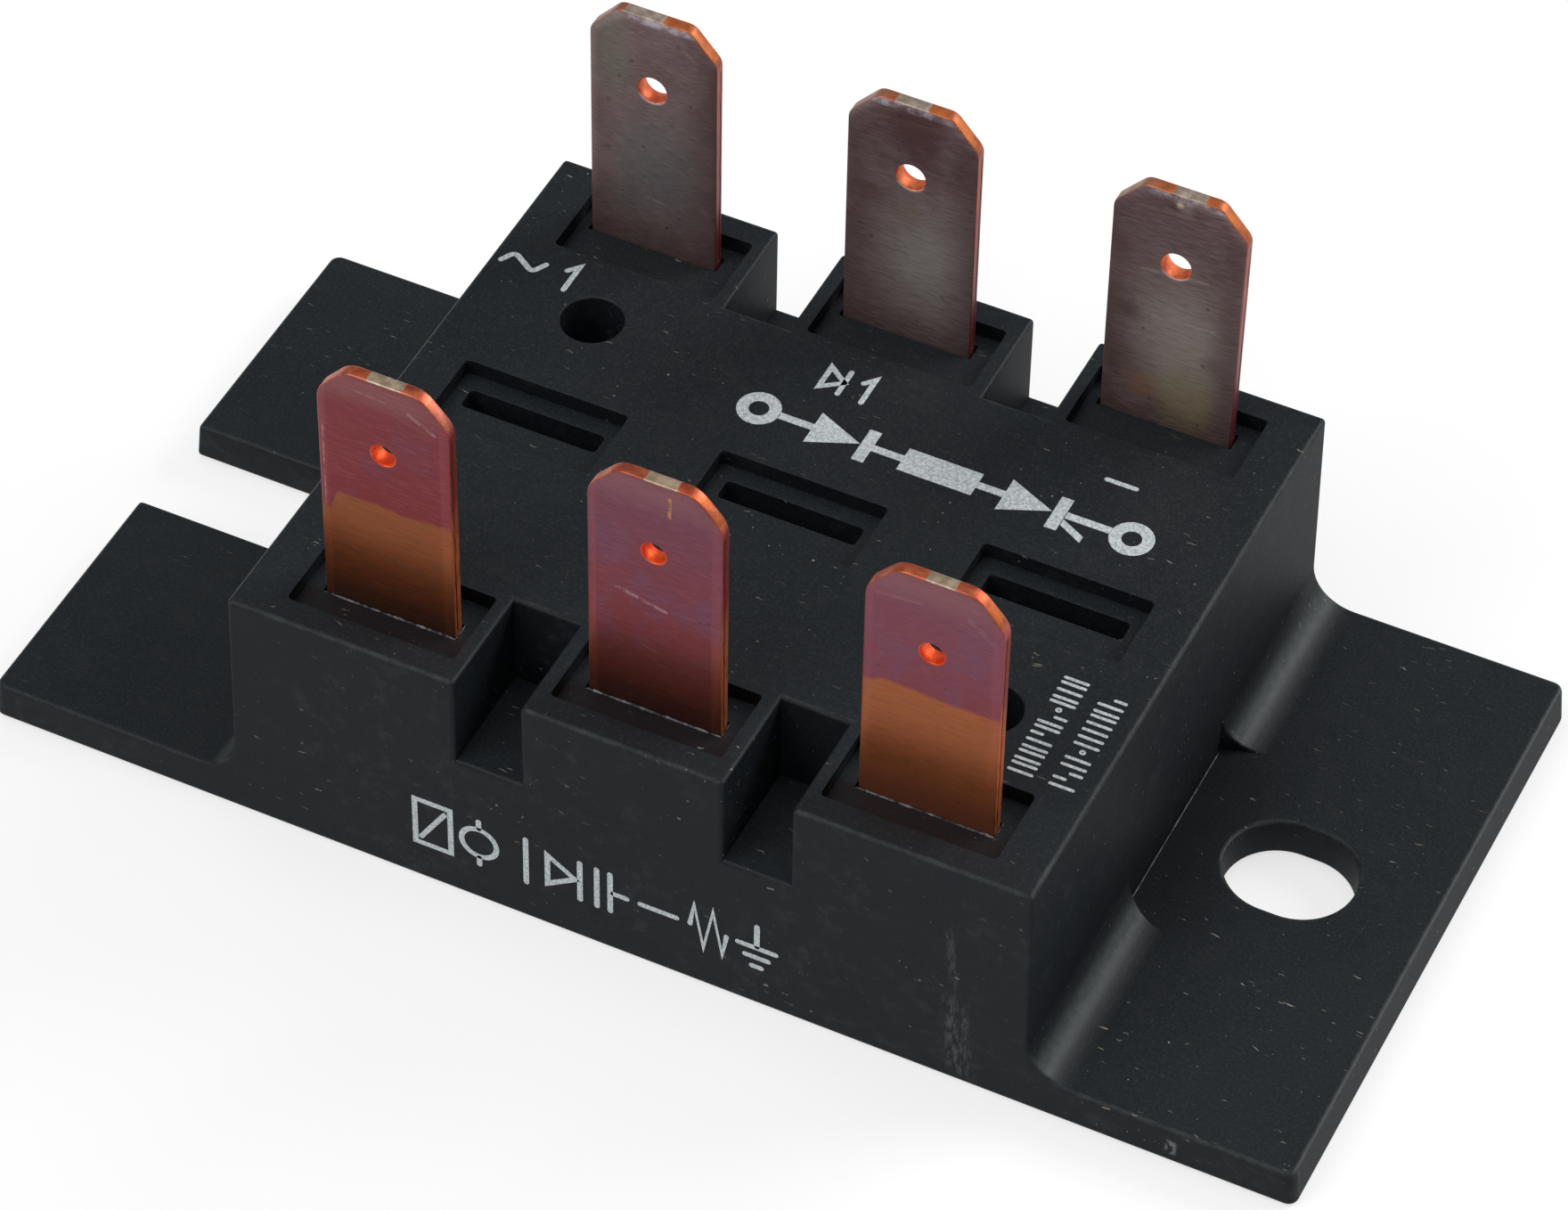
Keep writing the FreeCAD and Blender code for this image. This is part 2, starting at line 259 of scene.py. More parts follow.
# ---------------------------------------------------------------- materials
def plastic(name, worn=False):
    n = NT(name)
    base = n.mix(n.ramp(n.noise(0.09, 3.0), 0.35, 0.65), (0.0078, 0.0106, 0.0136), (0.0096, 0.0128, 0.0158))
    base = n.mix(n.math("MULTIPLY", n.ramp(n.noise(0.8, 4.0, 0.65), 0.45, 0.75), 0.6), base, (0.0128, 0.0152, 0.0168))
    grain = n.noise(7.0, 5.0, 0.65)
    base = n.mix(n.math("MULTIPLY", n.ramp(grain, 0.46, 0.74), 0.85), base, (0.0225, 0.0262, 0.0288))
    # upright faces carry less dust (the level mask) and get a darker base colour: painted shade
    nx, ny, nz = n.normal()
    level = n.ramp(nz, 0.2, 0.9, 0.35, 1.0)
    base = n.mix(n.ramp(nz, 0.5, 0.05, 0.0, 0.5), base, (0.0028, 0.0048, 0.0074))
    # cloudy handling marks on the long faces
    smudge = n.math("MULTIPLY", n.ramp(n.noise(0.75, 6.0, 0.78, offset=(4, 8, 1)), 0.50, 0.66), n.ramp(n.noise(0.16, 2.0, 0.6, offset=(2, 6, 3)), 0.36, 0.60))
    smudge = n.math("MULTIPLY", smudge, n.math("MULTIPLY", n.ramp(nz, 0.6, 0.2), n.ramp(n.math("ABSOLUTE", ny), 0.2, 0.9, 0.6, 1.0)))
    base = n.mix(n.math("MULTIPLY", smudge, 0.52), base, (0.0255, 0.0305, 0.0325))
    # painted shade: a darker corner at the foot of the end walls, between the two fillets, and darker low on the end
    # walls, with less specular there
    ax, ay = n.math("ABSOLUTE", n.x), n.math("ABSOLUTE", n.y)
    foot = n.math("MULTIPLY", n.ramp(ax, 24.6, 19.8), n.math("MULTIPLY", n.ramp(n.z, 2.9, 2.2), n.ramp(ay, 8.2, 3.4)))
    wall = n.math("MULTIPLY", n.ramp(n.math("ABSOLUTE", nx), 0.7, 0.95), n.math("MULTIPLY", n.ramp(n.z, 8.5, 3.0), n.ramp(ax, 24.0, 20.0)))
    painted_foot_shade = n.math("MAXIMUM", foot, n.math("MULTIPLY", wall, 0.35))
    base = n.mix(n.math("MULTIPLY", painted_foot_shade, 0.50), base, (0.0052, 0.0050, 0.0052))
    # painted highlight along the ear fillets: a paler, grainy base colour on the rounds, whose specular level is also
    # raised
    fillet_painted_highlight = n.math("MULTIPLY", n.math("MULTIPLY", n.ramp(n.math("ABSOLUTE", nx), 0.36, 0.60), n.ramp(nz, 0.44, 0.70)), n.ramp(n.z, 5.0, 4.2))
    fillet_painted_highlight = n.math("MULTIPLY", fillet_painted_highlight, n.ramp(n.noise(2.6, 5.0, 0.72, offset=(1, 5, 2)), 0.30, 0.70, 0.55, 1.0))
    base = n.mix(n.math("MULTIPLY", fillet_painted_highlight, 0.85), base, (0.0400, 0.0500, 0.0485))
    # painted reflection: a brown cast of the blades on the recess floor in front of the outer row of blades
    blade_painted_reflection = n.math("MULTIPLY", n.math("MULTIPLY", n.ramp(n.y, -12.6, -12.8), n.ramp(n.y, -14.9, -14.5)), n.math("MULTIPLY", n.ramp(n.z, 12.62, 12.52), n.ramp(n.z, 12.2, 12.3)))
    base = n.mix(n.math("MULTIPLY", n.math("MULTIPLY", blade_painted_reflection, n.ramp(nz, 0.8, 0.95)), 0.55), base, (0.0110, 0.0062, 0.0064))
    # warm film of dust, mostly on level faces
    film = n.math("MULTIPLY", n.ramp(n.noise(0.33, 5.0, 0.7, offset=(3.1, 7.7, 1.3)), 0.5, 0.78), n.ramp(n.noise(17.0, 3.0, 0.6), 0.45, 0.7))
    base = n.mix(n.math("MULTIPLY", n.math("MULTIPLY", film, level), 0.30), base, (0.045, 0.045, 0.040))
    # specks: two sizes, with ragged outlines
    w = n.warped(5.0, 0.10)
    specks = None
    for sc, off, keep, rad, lo, hi in ((2.7, (0.3, 0.9, 0.4), 0.82, 0.110, 0.10, 0.60), (1.3, (5.2, 1.4, 8.8), 0.88, 0.085, 0.35, 0.90)):
        d, c = n.cells_on(w, sc, off)
        r = n.lerp(c[2], rad * 0.45, rad)
        s = n.math("MULTIPLY", n.math("LESS_THAN", d, r), n.math("GREATER_THAN", c[0], keep))
        s = n.math("MULTIPLY", s, n.lerp(c[1], lo, hi))
        specks = s if specks is None else n.math("MAXIMUM", specks, s)
    # short curled fibres
    wf = n.warped(1.9, 0.42)
    patch = n.ramp(n.noise(0.14, 2.0, 0.6, offset=(6, 1, 4)), 0.42, 0.62, 0.12, 0.9)
    patch = n.math("MAXIMUM", patch, n.math("MULTIPLY", n.ramp(n.x, 19.0, 21.0), n.ramp(n.y, 2.0, -6.0, 0.35, 1.0)))
    specks = n.math("MULTIPLY", specks, n.math("ADD", n.math("MULTIPLY", patch, 0.6), 0.4))
    for rot, off, st in (((0.0, 0.0, 0.2), (1.0, 2.0, 3.0), (0.9, 6.6, 3.0)), ((0.0, 0.0, 1.0), (4.0, 1.0, 7.0), (1.2, 7.0, 3.0)),
                         ((0.0, 0.0, 1.75), (8.0, 3.0, 2.0), (0.8, 6.2, 3.0)), ((0.0, 0.0, 2.45), (3.0, 9.0, 5.0), (1.1, 7.0, 3.0))):
        d, c = n.cells_on(wf, 1.0, off, st, rot)
        s = n.math("MULTIPLY", n.ramp(d, 0.23, 0.13), n.math("GREATER_THAN", c[0], 0.971))
        s = n.math("MULTIPLY", s, patch)
        specks = n.math("MAXIMUM", specks, n.math("MULTIPLY", s, n.lerp(c[1], 0.10, 0.75)))
    specks = n.math("MULTIPLY", specks, n.math("MULTIPLY", n.ramp(nz, -0.6, 0.4, 0.40, 1.0), n.ramp(n.x, -20.0, -18.0, 0.5, 1.0)))
    dust = n.mix(n.ramp(n.noise(1.1, 1.0, offset=(7, 7, 7)), 0.42, 0.6), (0.44, 0.44, 0.40), (0.40, 0.35, 0.22))
    base = n.mix(n.math("MULTIPLY", specks, 0.8), base, dust)
    # fine rub marks
    rub = n.noise(0.9, 3.0, 0.6, stretch=(0.35, 9.0, 9.0), offset=(0, 3, 1))
    rub = n.math("MULTIPLY", n.ramp(rub, 0.66, 0.78), n.ramp(n.noise(0.2, 2.0, offset=(9, 2, 5)), 0.45, 0.65))
    base = n.mix(n.math("MULTIPLY", rub, 0.22), base, (0.05, 0.055, 0.058))
    rough = n.math("ADD", n.lerp(grain, 0.40, 0.56), n.ramp(nz, 0.45, 0.05, 0.0, 0.12))
    if worn:
        # pale wear on the outer rounded edges, strongest on upward-facing rounds and weaker at the left end; these pale
        # lines also stand in for a painted edge highlight
        up = n.math("MULTIPLY", n.ramp(nz, 0.15, 0.6, 0.12, 1.0), n.ramp(n.x, -18.9, -18.2, 0.25, 1.0))
        w = n.ramp(n.noise(1.1, 4.0, 0.7, offset=(2, 2, 9)), 0.36, 0.68)
        base = n.mix(n.math("MULTIPLY", n.math("MULTIPLY", w, up), 0.60), base, (0.036, 0.044, 0.043))
        w = n.ramp(n.noise(5.5, 3.0, 0.7, offset=(4, 1, 3)), 0.6, 0.72)
        base = n.mix(n.math("MULTIPLY", n.math("MULTIPLY", w, up), 0.30), base, (0.085, 0.092, 0.082))
    # a pale vertical rub low on the marked face: broad at the foot, a thin tail above; a small nick mark on the ear
    dx = n.math("ABSOLUTE", n.math("SUBTRACT", n.x, n.math("MULTIPLY_ADD", n.z, -0.09, 16.25)))
    broad = n.math("MULTIPLY", n.ramp(dx, 0.92, 0.15), n.math("MULTIPLY", n.ramp(n.z, 0.1, 1.0), n.ramp(n.z, 6.0, 4.4)))
    tail = n.math("MULTIPLY", n.ramp(dx, 0.32, 0.05), n.math("MULTIPLY", n.ramp(n.z, 5.4, 6.4), n.ramp(n.z, 10.4, 9.0)))
    sc = n.math("MULTIPLY", n.math("MAXIMUM", broad, n.math("MULTIPLY", tail, 0.55)), n.ramp(n.noise(2.0, 5.0, 0.75, stretch=(2.2, 1, 0.7)), 0.44, 0.64))
    ex = n.math("ABSOLUTE", n.math("SUBTRACT", n.x, 26.0))
    ez = n.math("ABSOLUTE", n.math("SUBTRACT", n.z, 0.95))
    nick = n.math("MULTIPLY", n.math("MULTIPLY", n.ramp(ex, 0.32, 0.14), n.ramp(ez, 0.55, 0.2)), n.ramp(n.noise(3.1, 3.0, 0.7, offset=(1, 2, 8)), 0.44, 0.52))
    sc = n.math("MULTIPLY", n.math("MAXIMUM", sc, n.math("MULTIPLY", nick, 2.4)), n.ramp(n.y, -15.6, -15.8))
    base = n.mix(n.math("MULTIPLY", sc, 0.50), base, (0.115, 0.122, 0.120))
    n.set(Base_Color=base, Roughness=rough, Specular_IOR_Level=n.math("MULTIPLY", n.ramp(painted_foot_shade, 0.0, 1.0, 1.0, 0.55, smooth=False), n.lerp(fillet_painted_highlight, n.ramp(nz, 0.05, 0.5, 0.125, 0.18), 0.30)))
    h = n.math("ADD", n.math("MULTIPLY", grain, 0.7), n.math("MULTIPLY", n.noise(1.6, 3.0), 0.7))
    h = n.math("ADD", h, n.math("MULTIPLY", specks, 0.8))
    n.bump(h, 0.4, 0.03)
    return n.mat


def blade_front(name, x0, z_edge, slope, curve, dark_low, tint, tin_u, marks, foot, gain, rim=0.61):
    """Heat-tinted plated copper. z_edge is where the violet part stops."""
    n = NT(name)
    nx, ny, nz = n.normal()
    u = n.math("SUBTRACT", n.x, x0)                      # -3.15 .. 3.15 across the blade
    v = n.math("SUBTRACT", n.z, FLOOR_Z)                 # 0 at the recess floor
    brushed = n.noise(1.0, 4.0, 0.6, stretch=(0.55, 1.0, 16.0), offset=(x0, 0, 0))
    fine = n.noise(1.0, 3.0, 0.5, stretch=(1.4, 1.0, 42.0), offset=(0, x0, 2))
    cloud = n.noise(0.55, 3.0, 0.5, offset=(x0 * 3, 1, 4))
    # violet upper part
    vio = n.mix(n.ramp(v, 4.5, 12.5), lin(*tint[0]), lin(*tint[1]))
    vio = n.mix(n.math("MULTIPLY", n.ramp(cloud, 0.45, 0.7), 0.6), vio, lin(*tint[2]))
    vio = n.mix(n.math("MULTIPLY", n.ramp(v, 11.6, 13.2), 0.45), vio, lin(146, 104, 104))
    # amber lower part, dark towards the housing
    amb = n.mix(n.ramp(v, 1.0, 6.0), lin(*gain[0]), lin(*gain[1]))
    amb = n.mix(n.math("MULTIPLY", n.ramp(brushed, 0.42, 0.68), 0.5), amb, lin(*gain[2]))
    soot = n.math("MULTIPLY", n.ramp(n.noise(1.3, 5.0, 0.7, stretch=(1.0, 1.0, 1.6), offset=(x0, 9, 3)), 0.46, 0.66), n.ramp(v, 4.8, 1.4))
    amb = n.mix(n.math("MULTIPLY", soot, 0.55), amb, lin(84, 48, 32))
    low = n.mix(n.ramp(v, 0.0, 2.6), lin(*foot[0]), lin(*foot[1]))
    if dark_low:
        amb = n.mix(n.ramp(v, 1.0, 4.4), low, lin(120, 54, 52))
    else:
        amb = n.mix(n.ramp(v, 0.3, 3.8), low, amb)
    # boundary between the two tints
    zb = n.math("MULTIPLY_ADD", u, slope, z_edge - FLOOR_Z)
    zb = n.math("ADD", zb, n.ramp(u, -2.25, -2.75, 0.0, curve))
    zb = n.math("ADD", zb, n.math("MULTIPLY", n.math("SUBTRACT", n.noise(0.8, 2.0, offset=(0, 0, x0)), 0.5), 0.5))
    band = 1.1 if dark_low else 0.14
    f = n.ramp(n.math("SUBTRACT", v, zb), -band, band)
    col = n.mix(f, amb, vio)
    col = n.mix(n.math("MULTIPLY", n.ramp(fine, 0.5, 0.72), 0.24), col, lin(172, 122, 118))
    col = n.mix(n.math("MULTIPLY", n.ramp(fine, 0.48, 0.32), 0.26), col, lin(84, 40, 46))
    # pale rubs and a few dark pits
    rub = n.math("MULTIPLY", n.ramp(brushed, 0.66, 0.78), n.ramp(n.noise(0.45, 2.0, offset=(x0, 5, 5)), 0.5, 0.62))
    col = n.mix(n.math("MULTIPLY", rub, 0.5), col, lin(182, 160, 160))
    d, c = n.cells(2.3, (x0, 0.4, 0.2))
    pit = n.math("MULTIPLY", n.ramp(d, 0.2, 0.1), n.math("GREATER_THAN", c[0], 0.93))
    col = n.mix(n.math("MULTIPLY", pit, 0.45), col, lin(60, 36, 34))
    for a, b, wd, k, tone in marks:
        m = n.math("MULTIPLY", n.dash(u, v, a, b, wd), n.ramp(n.noise(2.6, 3.0, 0.7, offset=(x0, 0, 7)), 0.36, 0.56))
        m = n.math("MULTIPLY", m, n.ramp(ny, -0.5, -0.8))
        col = n.mix(n.math("MULTIPLY", m, k), col, lin(*tone))
    # bands along the coined long edges
    edge = n.ramp(n.math("ABSOLUTE", u), 2.62, 2.78)
    col = n.mix(n.math("MULTIPLY", edge, 0.20), col, n.mix(n.ramp(v, 5.0, 7.0), lin(190, 108, 64), lin(164, 90, 98)))
    # side edges: warm below, red-violet above
    side = n.ramp(n.math("ABSOLUTE", nx), 0.6, 0.8)
    scol = n.mix(n.ramp(v, 5.0, 9.0), lin(236, 134, 80), lin(168, 76, 68))
    scol = n.mix(n.math("MULTIPLY", n.ramp(n.noise(2.2, 3.0, stretch=(1, 1, 0.5)), 0.45, 0.7), 0.5), scol, lin(140, 58, 42))
    col = n.mix(side, col, scol)
    # tip: bare copper on the chamfers, tinned patch in the middle
    tip = n.ramp(nz, 0.3, 0.5)
    cop = n.mix(n.ramp(n.noise(1.6, 3.0), 0.35, 0.65), lin(176, 78, 48), lin(206, 116, 76))
    cop = n.mix(n.math("MULTIPLY", n.ramp(u, 1.6, 2.6), n.ramp(n.noise(1.3, 3.0, offset=(4, 4, x0)), 0.40, 0.6, 0.3, 1.0)), cop, lin(206, 128, 112) if x0 < -5 else lin(212, 116, 56))
    cop = n.mix(n.math("MULTIPLY", n.ramp(n.noise(0.9, 2.0, offset=(1, 8, x0)), 0.5, 0.62), 0.5), cop, lin(140, 62, 50))
    tin = n.mix(n.ramp(n.noise(2.4, 3.0), 0.35, 0.7), lin(168, 150, 124), lin(206, 190, 160))
    um = n.math("ABSOLUTE", n.math("SUBTRACT", u, tin_u))
    um = n.math("ADD", um, n.math("MULTIPLY", n.math("SUBTRACT", n.noise(3.5, 2.0, offset=(x0, 3, 0)), 0.5), 0.14))
    half = 0.80 if x0 < -5 else (0.70 if x0 < 5 else 0.62)
    tipc = n.mix(n.ramp(um, half, half + 0.08), tin, cop)
    col = n.mix(tip, col, tipc)
    # bore: bright copper
    dz = n.math("SUBTRACT", n.z, HOLE_Z)
    rr = n.math("SQRT", n.math("ADD", n.math("MULTIPLY", u, u), n.math("MULTIPLY", dz, dz)))
    bore = n.ramp(rr, rim + 0.03, rim - 0.02)
    col = n.mix(bore, col, n.mix(n.ramp(n.noise(2.0, 2.0), 0.4, 0.6), lin(216, 70, 30), lin(230, 98, 46)))
    col = n.mix(n.math("MULTIPLY", n.ramp(v, 1.0, 3.6), n.ramp(bore, 0.9, 0.1)), col, (0.84, 0.77, 0.79), "MULTIPLY")
    n.set(Base_Color=col, Roughness=n.lerp(bore, n.lerp(brushed, 0.30, 0.48), 0.55))
    n.bsdf.inputs["Metallic"].default_value = 0.70
    n.bsdf.inputs["Anisotropic"].default_value = 0.35
    h = n.math("ADD", n.math("MULTIPLY", brushed, 0.7), n.math("MULTIPLY", fine, 0.5))
    n.bump(h, 0.25, 0.02)
    return n.mat


def blade_rear(name, x0, haze_u, haze_v, warm, tin_u, tin_w, marks, rim=0.75, patch=None, blobs=()):
    """Dull tarnished copper with fine brushing across the blade."""
    n = NT(name)
    nx, ny, nz = n.normal()
    u = n.math("SUBTRACT", n.x, x0)
    v = n.math("SUBTRACT", n.z, FLOOR_Z)
    brushed = n.noise(1.0, 5.0, 0.65, stretch=(0.5, 1.0, 15.0), offset=(x0 * 2, 0, 0))
    fine = n.noise(1.0, 3.0, 0.5, stretch=(1.6, 1.0, 46.0), offset=(0, x0, 2))
    cloud = n.noise(0.5, 3.0, 0.5, offset=(x0 * 3, 1, 4))
    col = n.mix(n.ramp(cloud, 0.35, 0.7), lin(128, 106, 104), lin(152, 132, 130))
    col = n.mix(n.math("MULTIPLY", n.ramp(v, 8.0, 13.0), 0.6), col, lin(126, 96, 100))
    if patch:
        pu, pv, pr, pc = patch
        pd = n.math("SQRT", n.math("ADD", n.math("POWER", n.math("SUBTRACT", u, pu), 2.0), n.math("POWER", n.math("MULTIPLY", n.math("SUBTRACT", v, pv), 0.42), 2.0)))
        pd = n.math("ADD", pd, n.math("MULTIPLY", n.math("SUBTRACT", cloud, 0.5), 1.2))
        col = n.mix(n.math("MULTIPLY", n.ramp(pd, pr, pr * 0.3), 0.7), col, lin(*pc))
    # pale hazy zone low on the blade
    du = n.math("SUBTRACT", u, haze_u)
    dv = n.math("MULTIPLY", n.math("SUBTRACT", v, haze_v), 0.62)
    dd = n.math("SQRT", n.math("ADD", n.math("MULTIPLY", du, du), n.math("MULTIPLY", dv, dv)))
    dd = n.math("ADD", dd, n.math("ADD", n.math("MULTIPLY", n.math("SUBTRACT", brushed, 0.5), 2.6), n.math("MULTIPLY", n.math("SUBTRACT", cloud, 0.5), 3.0)))
    haze = n.math("MULTIPLY", n.ramp(dd, 3.5, 0.2), 0.82)
    col = n.mix(haze, col, lin(*warm))
    # darker base
    col = n.mix(n.math("MULTIPLY", n.ramp(v, 2.2, 0.1), 0.6), col, lin(98, 74, 70))
    col = n.mix(n.math("MULTIPLY", n.ramp(fine, 0.50, 0.68), 0.44), col, lin(190, 172, 168))
    col = n.mix(n.math("MULTIPLY", n.ramp(fine, 0.50, 0.34), 0.44), col, lin(84, 62, 63))
    streak = n.math("MULTIPLY", n.ramp(brushed, 0.62, 0.76), n.ramp(n.noise(0.4, 2.0, offset=(x0, 5, 5)), 0.45, 0.62))
    col = n.mix(n.math("MULTIPLY", streak, 0.5), col, lin(186, 168, 160))
    d, c = n.cells(1.7, (x0, 0.4, 0.2))
    pit = n.math("MULTIPLY", n.ramp(d, 0.26, 0.12), n.math("GREATER_THAN", c[0], 0.9))
    col = n.mix(n.math("MULTIPLY", pit, 0.4), col, lin(54, 42, 42))
    # darker towards the long edges
    col = n.mix(n.math("MULTIPLY", n.ramp(n.math("ABSOLUTE", u), 1.5, 3.0), 0.40), col, lin(104, 76, 78))
    for a, b, wd, k, tone in marks:
        m = n.math("MULTIPLY", n.dash(u, v, a, b, wd), n.ramp(n.noise(2.6, 3.0, 0.7, offset=(x0, 0, 7)), 0.36, 0.56))
        m = n.math("MULTIPLY", m, n.ramp(ny, -0.5, -0.8))
        col = n.mix(n.math("MULTIPLY", m, k), col, lin(*tone))
    for bu, bv, br, k, tone in blobs:
        bd = n.math("SQRT", n.math("ADD", n.math("POWER", n.math("SUBTRACT", u, bu), 2.0), n.math("POWER", n.math("SUBTRACT", v, bv), 2.0)))
        bd = n.math("ADD", bd, n.math("MULTIPLY", n.math("ADD", n.math("SUBTRACT", brushed, 0.5), n.math("SUBTRACT", cloud, 0.5)), br * 1.3))
        col = n.mix(n.math("MULTIPLY", n.ramp(bd, br, br * 0.10), k), col, lin(*tone))
    # painted highlight: a cool pale band where the flat rolls over at the tip
    tip_painted_highlight = n.math("MULTIPLY", n.math("MULTIPLY", n.ramp(v, 13.20, 13.40), n.ramp(ny, -0.5, -0.8)), n.ramp(n.noise(1.3, 3.0, 0.6, offset=(x0, 2, 2)), 0.40, 0.62, 0.08, 1.0))
    col = n.mix(n.math("MULTIPLY", tip_painted_highlight, 0.62), col, lin(210, 206, 218))
    side = n.ramp(n.math("ABSOLUTE", nx), 0.6, 0.8)
    scol = n.mix(n.ramp(v, 4.0, 11.0), lin(124, 52, 58), lin(152, 70, 48))
    scol = n.mix(n.math("MULTIPLY", n.ramp(n.noise(2.2, 3.0, stretch=(1, 1, 0.5)), 0.45, 0.7), 0.45), scol, lin(96, 40, 42))
    col = n.mix(side, col, scol)
    tip = n.ramp(nz, 0.3, 0.5)
    cop = n.mix(n.ramp(n.noise(1.6, 3.0), 0.35, 0.65), lin(158, 82, 44), lin(192, 104, 52))
    cop = n.mix(n.ramp(u, -0.6, -2.2, 0.0, 0.80), cop, n.mix(n.ramp(n.noise(1.1, 3.0, offset=(x0, 1, 1)), 0.4, 0.6), lin(120, 92, 84), lin(150, 116, 98)))
    tin = n.mix(n.ramp(n.noise(2.4, 3.0), 0.35, 0.7), lin(140, 124, 112), lin(178, 162, 146))
    um = n.math("ABSOLUTE", n.math("SUBTRACT", u, tin_u))
    um = n.math("ADD", um, n.math("MULTIPLY", n.math("SUBTRACT", n.noise(3.5, 2.0, offset=(x0, 3, 0)), 0.5), 0.14))
    tipc = n.mix(n.ramp(um, tin_w, tin_w + 0.08), tin, cop)
    col = n.mix(tip, col, tipc)
    dz = n.math("SUBTRACT", n.z, HOLE_Z)
    rr = n.math("SQRT", n.math("ADD", n.math("MULTIPLY", u, u), n.math("MULTIPLY", dz, dz)))
    bore = n.ramp(rr, rim + 0.03, rim - 0.02)
    col = n.mix(bore, col, n.mix(n.ramp(n.noise(2.0, 2.0), 0.4, 0.6), lin(190, 84, 50), lin(214, 118, 74)))
    # painted highlight: a pale pinkish ring at the lower edge of the hole
    rim_painted_highlight = n.math("MULTIPLY", n.math("MULTIPLY", n.ramp(rr, 0.705, 0.725), n.ramp(rr, 0.84, 0.78)), n.math("MULTIPLY", n.ramp(dz, -0.25, -0.55), n.ramp(ny, -0.3, -0.6)))
    col = n.mix(n.math("MULTIPLY", rim_painted_highlight, 0.75), col, lin(226, 196, 190))
    n.set(Base_Color=col, Roughness=n.lerp(bore, n.lerp(brushed, 0.36, 0.54), 0.55))
    n.bsdf.inputs["Metallic"].default_value = 0.55
    n.bsdf.inputs["Anisotropic"].default_value = 0.4
    h = n.math("ADD", n.math("MULTIPLY", brushed, 0.8), n.math("MULTIPLY", fine, 0.5))
    n.bump(h, 0.3, 0.02)
    return n.mat


def simple(name, a, b, scale, rough, metallic=0.0, stretch=None, bump=0.15, dist=0.02, spec=0.5):
    n = NT(name)
    g = n.noise(scale, 4.0, 0.6, stretch=stretch)
    g2 = n.noise(scale * 6.0, 3.0, 0.55, stretch=stretch, offset=(3, 1, 2))
    col = n.mix(n.ramp(g, 0.35, 0.68), lin(*a), lin(*b))
    n.set(Base_Color=col, Roughness=n.lerp(g2, rough[0], rough[1]))
    n.bsdf.inputs["Metallic"].default_value = metallic
    n.bsdf.inputs["Specular IOR Level"].default_value = spec
    n.bump(n.math("ADD", n.math("MULTIPLY", g, 0.5), g2), bump, dist)
    return n.mat


def ink(name):
    n = NT(name)
    g = n.noise(3.2, 5.0, 0.7)
    col = n.mix(n.ramp(n.noise(9.0, 3.0, 0.6, offset=(1, 4, 2)), 0.35, 0.65), lin(150, 158, 162), lin(196, 202, 204))
    worn = n.ramp(g, 0.64, 0.76)
    col = n.mix(n.math("MULTIPLY", worn, 0.55), col, lin(72, 77, 80))
    n.set(Base_Color=col, Roughness=n.lerp(g, 0.5, 0.75))
    n.bsdf.inputs["Specular IOR Level"].default_value = 0.3
    n.bump(g, 0.2, 0.01)
    return n.mat


M_PLASTIC = plastic("housing_plastic_fine")
M_EDGE = plastic("housing_plastic_edge", worn=True)
M_INK = ink("marking_ink")


# ---------------------------------------------------------------- mesh helpers
def make_obj(name, bm, mats=(), scale=MM):
    me = bpy.data.meshes.new(name)
    bm.to_mesh(me)
    bm.free()
    if scale != 1.0:
        me.transform(Matrix.Scale(scale, 4))
    for m in mats:
        me.materials.append(m)
    o = bpy.data.objects.new(name, me)
    coll.objects.link(o)
    return o


def bm_prism(pts, lo, hi, axis="z"):
    """Closed prism over a polygon; pts are 2D in the plane across the axis."""
    bm = bmesh.new()

    def place(p, h):
        if axis == "z":
            return (p[0], p[1], h)
        if axis == "y":
            return (p[0], h, p[1])
        return (h, p[0], p[1])
    a = [bm.verts.new(place(p, lo)) for p in pts]
    b = [bm.verts.new(place(p, hi)) for p in pts]
    k = len(pts)
    bm.faces.new(list(reversed(a)))
    bm.faces.new(b)
    for i in range(k):
        j = (i + 1) % k
        bm.faces.new((a[i], a[j], b[j], b[i]))
    bmesh.ops.recalc_face_normals(bm, faces=bm.faces)
    return bm


def rect(x0, x1, y0, y1, r=0.0, n=4):
    if r <= 0:
        return [(x0, y0), (x1, y0), (x1, y1), (x0, y1)]
    pts = []
    for cx, cy, a0 in ((x1 - r, y0 + r, -90), (x1 - r, y1 - r, 0), (x0 + r, y1 - r, 90), (x0 + r, y0 + r, 180)):
        for i in range(n + 1):
            a = math.radians(a0 + 90.0 * i / n)
            pts.append((cx + r * math.cos(a), cy + r * math.sin(a)))
    return pts


def circle(cx, cy, r, n=64):
    return [(cx + r * math.cos(2 * math.pi * i / n), cy + r * math.sin(2 * math.pi * i / n)) for i in range(n)]


def tmp(bm):
    me = bpy.data.meshes.new("tmp")
    bm.to_mesh(me)
    bm.free()
    o = bpy.data.objects.new("tmp", me)
    coll.objects.link(o)
    return o


def boolean(base, cutters, op="DIFFERENCE"):
    """base and cutters are temporary objects in millimetres; the cutters are used up."""
    for c in cutters:
        m = base.modifiers.new("b", "BOOLEAN")
        m.operation = op
        m.solver = "EXACT"
        m.object = c
    dg = bpy.context.evaluated_depsgraph_get()
    dg.update()
    me = bpy.data.meshes.new_from_object(base.evaluated_get(dg))
    base.modifiers.clear()
    old = base.data
    base.data = me
    bpy.data.meshes.remove(old)
    for c in cutters:
        d = c.data
        bpy.data.objects.remove(c, do_unlink=True)
        bpy.data.meshes.remove(d)
    return base


